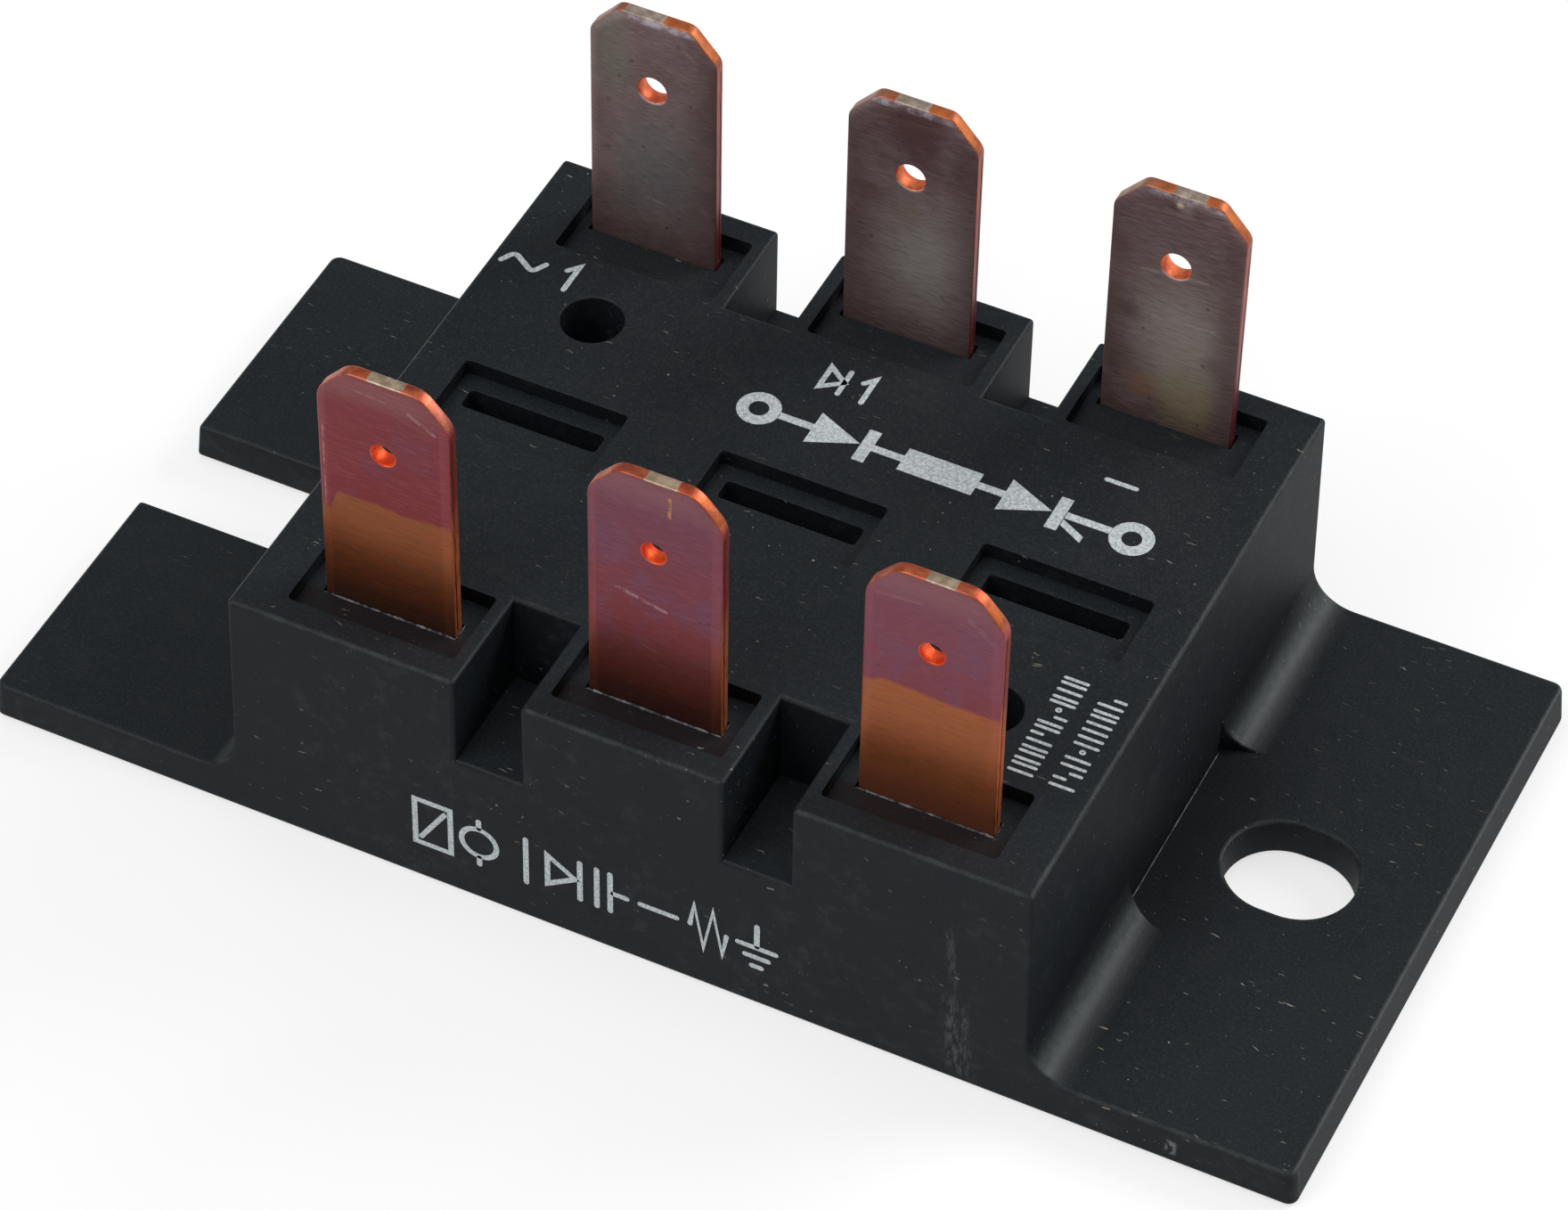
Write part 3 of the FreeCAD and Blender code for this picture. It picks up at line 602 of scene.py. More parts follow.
def tidy(bm, planes):
    """Merge flat neighbours, keeping a cut on each plane x = const so that no face has a hole."""
    bmesh.ops.remove_doubles(bm, verts=bm.verts, dist=2e-4)
    for x in planes:
        geom = list(bm.verts) + list(bm.edges) + list(bm.faces)
        bmesh.ops.bisect_plane(bm, geom=geom, dist=1e-5, plane_co=(x, 0, 0), plane_no=(1, 0, 0))

    def on_plane(e):
        a, b = e.verts[0].co.x, e.verts[1].co.x
        return any(abs(a - x) < 1e-4 and abs(b - x) < 1e-4 for x in planes)

    flat = [e for e in bm.edges if len(e.link_faces) == 2 and not on_plane(e)
            and e.link_faces[0].normal.dot(e.link_faces[1].normal) > 0.999995]
    bmesh.ops.dissolve_edges(bm, edges=flat, use_verts=False, use_face_split=False)
    # points left over on straight edges
    extra = []
    for v in bm.verts:
        if len(v.link_edges) == 2:
            a, b = (e.other_vert(v).co - v.co for e in v.link_edges)
            if a.normalized().dot(b.normalized()) < -0.99999:
                extra.append(v)
    bmesh.ops.dissolve_verts(bm, verts=extra)


def shade(o, limit=34):
    """Smooth shading, creased at corners that have no rounding of their own."""
    bm = bmesh.new()
    bm.from_mesh(o.data)
    for e in bm.edges:
        e.smooth = not (len(e.link_faces) == 2 and e.calc_face_angle(0.0) > math.radians(limit))
    bm.to_mesh(o.data)
    bm.free()
    for p in o.data.polygons:
        p.use_smooth = True
    m = o.modifiers.new("wn", "WEIGHTED_NORMAL")
    m.mode = "FACE_AREA"
    m.weight = 100
    m.keep_sharp = True
    m.thresh = 0.01


# ---------------------------------------------------------------- housing
def loft(lower, upper, z0, z1):
    bm = bmesh.new()
    a = [bm.verts.new((p[0], p[1], z0)) for p in lower]
    b = [bm.verts.new((p[0], p[1], z1)) for p in upper]
    bm.faces.new(list(reversed(a)))
    bm.faces.new(b)
    for i in range(len(a)):
        j = (i + 1) % len(a)
        bm.faces.new((a[i], a[j], b[j], b[i]))
    bmesh.ops.recalc_face_normals(bm, faces=bm.faces)
    return bm


def housing():
    hl, hw = LEN / 2, WID / 2
    zf, xf = EAR_T + FIL, LOW_X + FIL
    prof = [(-hl - 1, 0), (hl + 1, 0), (hl + 1, EAR_T)]
    na = 14
    for i in range(na + 1):
        a = math.radians(-90 - 90 * i / na)
        prof.append((xf + FIL * math.cos(a), zf + FIL * math.sin(a)))
    prof += [(TOP_X, H), (-TOP_X, H)]
    for i in range(na + 1):
        a = math.radians(0 - 90 * i / na)
        prof.append((-xf + FIL * math.cos(a), zf + FIL * math.sin(a)))
    prof += [(-hl - 1, EAR_T)]
    body = tmp(bm_prism(prof, -hw - 1, hw + 1, "y"))
    # plan outline: leaning end faces and rounded corners
    lean = DRAFT / EAR_T
    e0, e1 = hl + lean, hl - lean * (H + 1)
    trim = tmp(loft(rect(-e0, e0, -hw, hw, 0.5, 6), rect(-e1, e1, -hw, hw, 0.5, 6), -1, H + 1))
    boolean(body, [trim], "INTERSECT")
    cut = []
    for sx in (-1, 1):
        for sy in (-1, 1):
            x0, x1 = sorted((sx * 4.8, sx * 8.0))
            y0, y1 = sorted((sy * 10.25, sy * (hw + 1)))
            cut.append(tmp(bm_prism(rect(x0, x1, y0, y1), 8.4, H + 1)))
    for i in (-1, 0, 1):
        for j in (-1, 0, 1):
            x, y = i * PITCH, j * ROW_Y
            cut.append(tmp(bm_prism(rect(x - REC_L / 2, x + REC_L / 2, y - REC_W / 2, y + REC_W / 2, 0.2), FLOOR_Z, H + 1)))
    for sg in (-1, 1):
        cut.append(tmp(bm_prism(circle(sg * 12.95, -sg * 6.8, 1.45, 56), H - 3.5, H + 1)))
        # the spot face takes a round bite out of the ear fillet
        xa, xb = LOW_X, LOW_X + FIL + 0.02
        a0, a1 = math.acos((xa - SPOT_X) / SPOT_R), math.acos((xb - SPOT_X) / SPOT_R)
        up = [(sg * (SPOT_X + SPOT_R * math.cos(a0 + (a1 - a0) * i / 8)), SPOT_R * math.sin(a0 + (a1 - a0) * i / 8)) for i in range(9)]
        cut.append(tmp(bm_prism(up + [(x, -y) for x, y in reversed(up)], EAR_T, EAR_T + FIL + 0.5)))
    boolean(body, cut)
    cut = []
    for i in (-1, 0, 1):
        x = i * PITCH
        for cx, cy, sl, sw, z0, r in ((x, FRONT_Y, SLOT_L, SLOT_W, H - 3.5, 0.05), (x + REAR_DX, REAR_Y, SLOT_L, SLOT_W, H - 3.5, 0.05),
                                      (x, MID_Y, MID_L, MID_W, FLOOR_Z - MID_D, 0.2)):
            cut.append(tmp(bm_prism(rect(cx - sl / 2, cx + sl / 2, cy - sw / 2, cy + sw / 2, r, 4), z0, FLOOR_Z + 0.2)))
    # closed slot on the right ear, open slot on the left ear
    pts = []
    for cx, a0 in ((25.2, -90), (24.4, 90)):
        for i in range(33):
            a = math.radians(a0 + 180.0 * i / 32)
            pts.append((cx + 2.6 * math.cos(a), 2.6 * math.sin(a)))
    cut.append(tmp(bm_prism(pts, -1, EAR_T + 1)))
    pts = [(-hl - 2, -2.8), (-24.8, -2.8)]
    for i in range(1, 32):
        a = math.radians(-90 + 180.0 * i / 32)
        pts.append((-24.8 + 2.7 * math.cos(a), -0.1 + 2.7 * math.sin(a)))
    pts += [(-24.8, 2.6), (-hl - 2, 2.6)]
    cut.append(tmp(bm_prism(pts, -1, EAR_T + 1)))
    boolean(body, cut)
    # cavity with the walls of the gaps, and the rebate of the base plate
    cav = tmp(bm_prism(rect(-16.2, 16.2, -14.1, 14.1, 0.8), -1, H - 3.0))
    walls = []
    for sx in (-1, 1):
        for sy in (-1, 1):
            x0, x1 = sorted((sx * 3.6, sx * 9.2))
            y0, y1 = sorted((sy * 9.05, sy * 15.2))
            walls.append(tmp(bm_prism(rect(x0, x1, y0, y1), 7.0, H)))
    boolean(cav, walls)
    reb = tmp(bm_prism(rect(-17.4, 17.4, -14.8, 14.8, 1.0), -1, 1.75))
    boolean(body, [cav, reb])

    bm = bmesh.new()
    bm.from_mesh(body.data)
    bpy.data.objects.remove(body, do_unlink=True)
    bmesh.ops.recalc_face_normals(bm, faces=bm.faces)
    bm.normal_update()
    tidy(bm, (0.0, PITCH, -PITCH, 24.8, -24.8))

    def group(e):
        m = (e.verts[0].co + e.verts[1].co) / 2
        top = all(v.co.z > H - 1e-3 for v in e.verts)
        if top:
            for i in (-1, 0, 1):
                for j in (-1, 0, 1):
                    if abs(m.x - i * PITCH) < REC_L / 2 + 0.01 and abs(m.y - j * ROW_Y) < REC_W / 2 + 0.01:
                        return "recess"
            for sg in (-1, 1):
                if math.hypot(m.x - sg * 12.95, m.y + sg * 6.8) < 1.6:
                    return "hole"
        if all(abs(v.co.z - FLOOR_Z) < 1e-3 for v in e.verts) and abs(m.x) < 17:
            return "slot"
        if abs(abs(m.x) - 20.2) < 1.2 and 4.9 < abs(m.y) < 6.1 and EAR_T - 0.01 < m.z < EAR_T + FIL + 0.2:
            return "spot"
        inside = abs(m.x) < 17.5 and abs(m.y) < 14.9 and m.z < FLOOR_Z - 0.05
        notch = m.z > 8.3 and 4.7 < abs(m.x) < 8.1 and abs(m.y) > 10.2
        return None if inside and not notch else "outer"

    for want, width, seg, mat in (("outer", 0.22, 3, 1), ("recess", 0.05, 2, 0), ("hole", 0.12, 3, 0), ("slot", 0.04, 2, 0), ("spot", 0.12, 3, 0)):
        pick = [e for e in bm.edges if len(e.link_faces) == 2 and e.calc_face_angle_signed(0.0) > math.radians(28) and group(e) == want]
        if want != "outer":
            # faces made by an earlier rounding stay as they are
            pick = [e for e in pick if all(f.material_index == 0 for f in e.link_faces)]
        bmesh.ops.bevel(bm, geom=pick, offset=width, offset_type="OFFSET", segments=seg, profile=0.55, affect="EDGES",
                        clamp_overlap=False, material=mat, loop_slide=True, miter_outer="SHARP", miter_inner="SHARP")
        bm.normal_update()
    # the rounding of the bite runs out flush with the ear
    low = [v for v in bm.verts if EAR_T - 0.12 < v.co.z < EAR_T + 0.006 and 20.2 < abs(v.co.x) < 21.2 and 5.2 < abs(v.co.y) < 6.1]
    for v in low:
        v.co.z = EAR_T
    bmesh.ops.remove_doubles(bm, verts=low, dist=0.03)
    bmesh.ops.dissolve_degenerate(bm, edges=bm.edges, dist=1e-4)
    bmesh.ops.recalc_face_normals(bm, faces=bm.faces)
    for f in bm.faces:
        c = f.calc_center_median()
        if f.material_index == 1 and 4.6 < abs(c.x) < 8.2 and abs(c.y) > 10.1 and c.z > 8.2:
            f.material_index = 0
    o = make_obj("housing_shell", bm, (M_PLASTIC, M_EDGE))
    shade(o)
    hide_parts("housing")
    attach(o, "root")
    return o


def bead(bm, pts, size, rnd, rag=0.6):
    """Ragged three-sided bead along a polyline: mould flash, a squeezed-out rim, or a pale line that carries a painted
    highlight.
    """
    rings = []
    n = len(pts)
    for i, p in enumerate(pts):
        k = size * (1 - rag + 2 * rag * rnd.random()) if 0 < i < n - 1 else size * 0.15
        p = Vector(p)
        q = Vector(pts[min(i + 1, n - 1)]) - Vector(pts[max(i - 1, 0)])
        q.normalize()
        side = Vector((q.y, -q.x, 0))
        rings.append([bm.verts.new(p - side * k * 0.5 - Vector((0, 0, 0.03))), bm.verts.new(p + side * k * 0.9 - Vector((0, 0, 0.03))),
                      bm.verts.new(p + side * k * 0.1 + Vector((0, 0, k * 0.8)))])
    for a, b in zip(rings[:-1], rings[1:]):
        for i in range(3):
            j = (i + 1) % 3
            bm.faces.new((a[i], a[j], b[j], b[i]))
    bm.faces.new(rings[0])
    bm.faces.new(rings[-1])


def flash_and_foot_highlight():
    rnd = random.Random(5)
    bm = bmesh.new()
    for i in (-1, 0, 1):
        x0, y0 = i * PITCH, FRONT_Y - BLADE_T / 2 - 0.01
        n = 46
        line = [(x0 - 3.22 + 6.44 * k / n, y0 - 0.03 + 0.02 * rnd.random(), FLOOR_Z) for k in range(n + 1)]
        bead(bm, line, 0.062, rnd, 0.85)
        line = [(x0 + 3.19 + 0.02 * rnd.random(), y0 + 0.9 * k / 8, FLOOR_Z) for k in range(9)]
        bead(bm, line, 0.05, rnd, 0.7)
    bmesh.ops.recalc_face_normals(bm, faces=bm.faces)
    o = make_obj("flash_at_blades", bm, (simple("pale_flash", (30, 31, 35), (128, 132, 140), 2.2, (0.45, 0.65)),))
    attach(o, "root")
    bm = bmesh.new()
    # the pale line at the foot of the end walls is a painted highlight carried by a small bead
    for sg in (-1, 1):
        n = 30
        line = [(sg * (LOW_X + 0.015), -sg * (5.05 - 10.1 * k / n), EAR_T) for k in range(n + 1)]
        bead(bm, line, 0.07, rnd, 0.2)
    bmesh.ops.recalc_face_normals(bm, faces=bm.faces)
    o = make_obj("wall_foot_line", bm, (simple("pale_foot_highlight_line", (40, 45, 45), (96, 103, 99), 1.6, (0.45, 0.6)),))
    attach(o, "root")


# ---------------------------------------------------------------- blades
def blade_outline(inset=0.0, x0=0.0, z_low=3.03, r=0.30):
    """Counter-clockwise from the lower right; a point at x0 on the top and on the bottom edge."""
    w, top, cx, cz = BLADE_W / 2 - inset, BLADE_TOP - inset, 1.35, 1.5
    k = inset * 0.42
    corners = [(w, top - cz + k), (w - cx + k, top), (-w + cx - k, top), (-w, top - cz + k)]
    chain = [(w, z_low)] + corners + [(-w, z_low)]
    out = [chain[0]]
    for i in range(1, 5):
        a, b, c = Vector(chain[i - 1]), Vector(chain[i]), Vector(chain[i + 1])
        pa, pc = b + (a - b).normalized() * r, b + (c - b).normalized() * r
        for t in (0.0, 0.2, 0.4, 0.6, 0.8, 1.0):
            q = pa * (1 - t) ** 2 + b * 2 * t * (1 - t) + pc * t * t
            out.append((q.x, q.y))
        if i == 2:
            out.append((0.0, top))
    out.append(chain[5])
    out.append((0.0, z_low))
    return [(x0 + p[0], p[1]) for p in out]


def blade(name, node, x0, y0, inward, mat, seed):
    rnd = random.Random(seed)
    z_low = 3.03
    t2 = BLADE_T / 2
    coin = 0.10
    r = 0.52 if inward > 0 else 0.30
    outer = blade_outline(0.0, x0, z_low, r)
    inner = blade_outline(0.42, x0, z_low, r)
    # the hole: rolled rim, then a straight bore
    if inward > 0:
        rim = [(0.62, 0.0), (0.59, 0.012), (0.568, 0.035), (0.55, 0.075)]
    else:
        rim = [(0.75, 0.0), (0.73, 0.01), (0.71, 0.03), (0.70, 0.06)]
    nh = 48
    bm = bmesh.new()

    def ring(pts, y):
        return [bm.verts.new((p[0], y, p[1])) for p in pts]

    def circ(r):
        return [(x0 + r * math.cos(2 * math.pi * i / nh), HOLE_Z + r * math.sin(2 * math.pi * i / nh)) for i in range(nh)]

    def strip(a, b):
        for i in range(len(a)):
            j = (i + 1) % len(a)
            bm.faces.new((a[i], a[j], b[j], b[i]))

    ends = {}
    for s in (-1, 1):
        o1 = ring(outer, y0 + s * (t2 - coin))
        i1 = ring(inner, y0 + s * t2)
        strip(o1, i1)
        rings = [ring(circ(r), y0 + s * (t2 - d)) for r, d in rim]
        for a, b in zip(rings[:-1], rings[1:]):
            strip(a, b)
        h = rings[0]
        # two large flats, parted on the blade's centre line
        top_i = next(i for i, v in enumerate(i1) if abs(v.co.x - x0) < 1e-6 and v.co.z > 20)
        bot_i = next(i for i, v in enumerate(i1) if abs(v.co.x - x0) < 1e-6 and v.co.z < 20)
        qt, qb = nh // 4, 3 * nh // 4
        right = i1[:top_i + 1] + [h[k % nh] for k in range(qt, qb - nh - 1, -1)] + [i1[bot_i]]
        left = i1[top_i:bot_i + 1] + [h[k] for k in range(qb, qt - 1, -1)]
        bm.faces.new(right)
        bm.faces.new(left)
        ends[s] = (o1, rings[-1])
    strip(ends[-1][0], ends[1][0])
    strip(ends[-1][1], ends[1][1])
    bmesh.ops.recalc_face_normals(bm, faces=bm.faces)
    ob = tmp(bm)
    # the open side of the fold: a thin wavy gap down the right-hand edge
    gap = bmesh.new()
    zs = [12.6 + (24.1 - 12.6) * i / 26 for i in range(27)]
    off = [-0.10 * inward + rnd.uniform(-0.025, 0.025) for _ in zs]
    xr = x0 + BLADE_W / 2
    rings = []
    for k, (z, f) in enumerate(zip(zs, off)):
        half = 0.030 + 0.022 * (1 - k / 26) + rnd.uniform(-0.008, 0.008)
        rings.append([gap.verts.new((xr - 0.35, y0 + f - half, z)), gap.verts.new((xr + 0.5, y0 + f - half, z)),
                      gap.verts.new((xr + 0.5, y0 + f + half, z)), gap.verts.new((xr - 0.35, y0 + f + half, z))])
    for r1, r2 in zip(rings[:-1], rings[1:]):
        for i in range(4):
            j = (i + 1) % 4
            gap.faces.new((r1[i], r1[j], r2[j], r2[i]))
    gap.faces.new(list(reversed(rings[0])))
    gap.faces.new(rings[-1])
    bmesh.ops.recalc_face_normals(gap, faces=gap.faces)
    boolean(ob, [tmp(gap)])
    # foot inside the housing
    ya, yb = sorted((y0 - inward * (t2 - 0.15), y0 + inward * 3.4))
    foot = tmp(bm_prism(rect(x0 - 2.3, x0 + 2.3, ya, yb), z_low, z_low + BLADE_T))
    boolean(ob, [foot], "UNION")
    bm = bmesh.new()
    bm.from_mesh(ob.data)
    bpy.data.objects.remove(ob, do_unlink=True)
    bmesh.ops.remove_doubles(bm, verts=bm.verts, dist=1e-4)
    pick = [e for e in bm.edges if len(e.link_faces) == 2 and e.calc_face_angle_signed(0.0) > math.radians(50)
            and (e.verts[0].co.z + e.verts[1].co.z) / 2 > 12.5
            and abs(abs((e.verts[0].co.y + e.verts[1].co.y) / 2 - y0) - (t2 - coin)) < 0.02]
    bmesh.ops.bevel(bm, geom=pick, offset=0.06, offset_type="OFFSET", segments=3, profile=0.5, affect="EDGES", clamp_overlap=True)
    bmesh.ops.recalc_face_normals(bm, faces=bm.faces)
    o = make_obj(name, bm, (mat,))
    shade(o, 38)
    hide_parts(node)
    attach(o, "root")
    return o


# ---------------------------------------------------------------- markings
def flat_poly(bm, pts, put, t=0.02):
    """Prism of thickness t over a simple polygon on the marked surface."""
    a = [bm.verts.new(put(p[0], p[1], -0.01)) for p in pts]
    b = [bm.verts.new(put(p[0], p[1], t)) for p in pts]
    k = len(pts)
    bm.faces.new(a)
    bm.faces.new(b)
    for i in range(k):
        j = (i + 1) % k
        bm.faces.new((a[i], a[j], b[j], b[i]))


def ring_poly(bm, cx, cy, ro, ri, put, t=0.02, n=40, a0=0.0, a1=360.0):
    full = abs(a1 - a0) >= 359.9
    m = n if full else n + 1
    la, lb, lc, ld = [], [], [], []
    for i in range(m):
        a = math.radians(a0 + (a1 - a0) * i / n)
        c, s = math.cos(a), math.sin(a)
        la.append(bm.verts.new(put(cx + ro * c, cy + ro * s, -0.01)))
        lb.append(bm.verts.new(put(cx + ro * c, cy + ro * s, t)))
        lc.append(bm.verts.new(put(cx + ri * c, cy + ri * s, t)))
        ld.append(bm.verts.new(put(cx + ri * c, cy + ri * s, -0.01)))
    for i in range(n if full else n):
        j = (i + 1) % m if full else i + 1
        if j >= m:
            break
        bm.faces.new((la[i], la[j], lb[j], lb[i]))
        bm.faces.new((lb[i], lb[j], lc[j], lc[i]))
        bm.faces.new((lc[i], lc[j], ld[j], ld[i]))
        bm.faces.new((ld[i], ld[j], la[j], la[i]))
    if not full:
        bm.faces.new((la[0], lb[0], lc[0], ld[0]))
        bm.faces.new((ld[-1], lc[-1], lb[-1], la[-1]))


def stroke(bm, pts, w, put, t=0.02, closed=False):
    """One ribbon along a polyline with mitred joints and round ends."""
    P = [Vector(p) for p in pts]
    n = len(P)
    left, right = [], []
    for i in range(n):
        if closed:
            a, b, c = P[i - 1], P[i], P[(i + 1) % n]
        else:
            a, b, c = P[max(i - 1, 0)], P[i], P[min(i + 1, n - 1)]
        d1 = (b - a).normalized() if (b - a).length > 1e-9 else (c - b).normalized()
        d2 = (c - b).normalized() if (c - b).length > 1e-9 else d1
        n1, n2 = Vector((-d1.y, d1.x)), Vector((-d2.y, d2.x))
        m = (n1 + n2)
        m = m.normalized() if m.length > 1e-6 else n1
        k = w / 2 / max(0.35, m.dot(n1))
        left.append(b + m * k)
        right.append(b - m * k)
    if closed:
        m2 = len(left)
        vs = []
        for i in range(m2):
            vs.append((bm.verts.new(put(*left[i], -0.01)), bm.verts.new(put(*left[i], t)),
                       bm.verts.new(put(*right[i], t)), bm.verts.new(put(*right[i], -0.01))))
        for i in range(m2):
            a, b = vs[i], vs[(i + 1) % m2]
            for q in range(4):
                r = (q + 1) % 4
                bm.faces.new((a[q], b[q], b[r], a[r]))
        return
    cap0, cap1 = [], []
    d0, d1 = (P[1] - P[0]).normalized(), (P[-1] - P[-2]).normalized()
    for i in range(1, 6):
        a = math.pi * i / 6
        nl = Vector((-d0.y, d0.x))
        cap0.append(P[0] + (-nl * math.cos(a) - d0 * math.sin(a)) * w / 2)
        nl = Vector((-d1.y, d1.x))
        cap1.append(P[-1] + (nl * math.cos(a) + d1 * math.sin(a)) * w / 2)
    poly = left + cap1 + list(reversed(right)) + cap0
    flat_poly(bm, [(p.x, p.y) for p in poly], put, t)


def ink_piece(name, build, put):
    bm = bmesh.new()
    build(bm, put)
    bmesh.ops.recalc_face_normals(bm, faces=bm.faces)
    o = make_obj(name, bm, (M_INK,))
    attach(o, "root")
    return o


def on_top(u, v, h):
    return (u, v, H + h)


def on_front(u, v, h):
    return (u, -WID / 2 - h, v)


def bez(pts, n=10):
    """Catmull-Rom through points, for round strokes."""
    P = [Vector(p) for p in pts]
    P = [P[0] * 2 - P[1]] + P + [P[-1] * 2 - P[-2]]
    out = []
    for i in range(1, len(P) - 2):
        a, b, c, d = P[i - 1], P[i], P[i + 1], P[i + 2]
        for k in range(n):
            t = k / n
            out.append(0.5 * ((2 * b) + (c - a) * t + (2 * a - 5 * b + 4 * c - d) * t * t + (3 * b - a - 3 * c + d) * t ** 3))
    out.append(P[-2])
    return [(p.x, p.y) for p in out]


def arc_pts(cx, cy, r, a0, a1, n=16):
    return [(cx + r * math.cos(math.radians(a0 + (a1 - a0) * i / n)), cy + r * math.sin(math.radians(a0 + (a1 - a0) * i / n))) for i in range(n + 1)]


def digit(bm, ch, x, y, h, w, put):
    """Terminal numbers, built from strokes."""
    s = h
    if ch == "1":
        stroke(bm, [(x + 0.05 * s, y + 0.72 * s), (x + 0.30 * s, y + s), (x + 0.30 * s, y)], w, put)
    elif ch == "2":
        pts = arc_pts(x + 0.3 * s, y + 0.70 * s, 0.28 * s, 165, -20, 12)
        pts += [(x + 0.42 * s, y + 0.40 * s), (x + 0.04 * s, y + 0.02 * s), (x + 0.62 * s, y + 0.02 * s)]
        stroke(bm, pts, w, put)


def labels(bm, put):
    # alternating-current sign with a terminal number, beside the left rear blade
    stroke(bm, bez([(-18.45, 8.45), (-18.05, 9.05), (-17.45, 8.75), (-16.85, 8.45), (-16.45, 9.05)], 6), 0.27, put)
    digit(bm, "1", -15.5, 7.95, 1.65, 0.26, put)
    # gate sign with a terminal number, beside the middle rear blade
    stroke(bm, [(-2.0, 8.9), (-2.0, 7.5), (-1.05, 8.2)], 0.25, put, closed=True)
    stroke(bm, [(-1.05, 8.95), (-1.05, 7.45)], 0.25, put)
    digit(bm, "1", -0.35, 7.4, 1.6, 0.26, put)
    # minus bar beside the right rear blade
    stroke(bm, [(11.85, 7.93), (13.25, 7.93)], 0.24, put)


def emblem(bm, put):
    # bold line of circuit symbols: terminal, diode, load, thyristor, terminal
    yc, h = 5.05, 1.02

    def bar(x0, x1, y0, y1):
        flat_poly(bm, [(x0, y0), (x1, y0), (x1, y1), (x0, y1)], put)

    ring_poly(bm, -3.75, yc, 1.02, 0.46, put)
    bar(-2.76, -1.1, yc - 0.2, yc + 0.2)
    flat_poly(bm, [(-1.1, yc - h), (1.2, yc), (-1.1, yc + h)], put)
    bar(1.24, 1.82, yc - h, yc + h)
    bar(1.82, 3.3, yc - 0.2, yc + 0.2)
    bar(3.3, 6.9, yc - 0.72, yc + 0.72)
    bar(6.9, 8.2, yc - 0.2, yc + 0.2)
    flat_poly(bm, [(8.2, yc - h), (10.5, yc), (8.2, yc + h)], put)
    bar(10.54, 11.12, yc - h, yc + h)
    flat_poly(bm, [(11.16, yc - 0.62), (12.35, yc - 1.25), (12.35, yc - 0.85), (11.16, yc - 0.24)], put)
    bar(11.16, 13.3, yc - 0.16, yc + 0.24)
    ring_poly(bm, 14.3, yc, 1.02, 0.46, put)


def front_row(bm, put):
    z0, z1, w = 2.3, 5.05, 0.27
    zc = (z0 + z1) / 2
    # converter
    stroke(bm, [(-10.1, z0), (-8.35, z0), (-8.35, z1), (-10.1, z1)], w, put, closed=True)
    stroke(bm, [(-9.82, z0 + 0.4), (-8.63, z1 - 0.4)], w * 0.9, put)
    # source
    stroke(bm, arc_pts(-6.95, zc, 0.86, 0, 345, 30), w, put, closed=True)
    stroke(bm, [(-6.95, zc + 0.95), (-6.95, z1)], w, put)
    stroke(bm, [(-6.95, zc - 0.95), (-6.95, z0)], w, put)
    # contact
    stroke(bm, [(-4.65, z0), (-4.65, z1)], w, put)
    # diode
    stroke(bm, [(-3.6, z0 + 0.45), (-2.25, zc), (-3.6, z1 - 0.45)], w, put, closed=True)
    stroke(bm, [(-2.02, z0 + 0.2), (-2.02, z1 - 0.2)], w, put)
    # capacitor
    stroke(bm, [(-1.2, z0 + 0.2), (-1.2, z1 - 0.2)], w, put)
    stroke(bm, [(-0.55, z0 + 0.2), (-0.55, z1 - 0.2)], w, put)
    stroke(bm, [(-0.4, zc), (0.25, zc)], w, put)
    # lead
    stroke(bm, [(0.9, zc), (2.65, zc)], w, put)
    # resistor
    stroke(bm, [(3.3, zc), (3.5, z1 - 0.1), (3.95, z0 + 0.1), (4.4, z1 - 0.1), (4.85, z0 + 0.1), (5.05, zc)], w * 0.9, put)
    # earth
    stroke(bm, [(6.5, z1), (6.5, zc + 0.1)], w, put)
    stroke(bm, [(5.6, zc), (7.4, zc)], w, put)
    stroke(bm, [(5.95, zc - 0.62), (7.05, zc - 0.62)], w, put)
    stroke(bm, [(6.28, zc - 1.22), (6.72, zc - 1.22)], w, put)


def tick_code(bm, put):
    # two lines of plain ticks and dots along the right-hand edge, in the manner of a batch code
    for x0, x1, seed, y1 in ((15.1, 16.15, 3, -3.55), (17.0, 18.05, 8, -3.75)):
        rnd = random.Random(seed)
        y = -9.6
        while y < y1:
            k = rnd.choice(("full", "full", "near", "far", "pair", "dot"))
            if k == "full":
                stroke(bm, [(x0, y), (x1, y)], 0.16, put)
                y += 0.44
            elif k == "near":
                stroke(bm, [(x0, y), (x0 + 0.48, y)], 0.16, put)
                y += 0.40
            elif k == "far":
                stroke(bm, [(x1 - 0.48, y), (x1, y)], 0.16, put)
                y += 0.40
            elif k == "pair":
                stroke(bm, [(x0, y), (x1, y)], 0.16, put)
                stroke(bm, [(x0, y + 0.30), (x1, y + 0.30)], 0.16, put)
                y += 0.74
            else:
                ring_poly(bm, (x0 + x1) / 2, y + 0.05, 0.15, 0.04, put, n=14)
                y += 0.46


# ---------------------------------------------------------------- build
housing()
flash_and_foot_highlight()

cols = (("left", -1), ("middle", 0), ("right", 1))
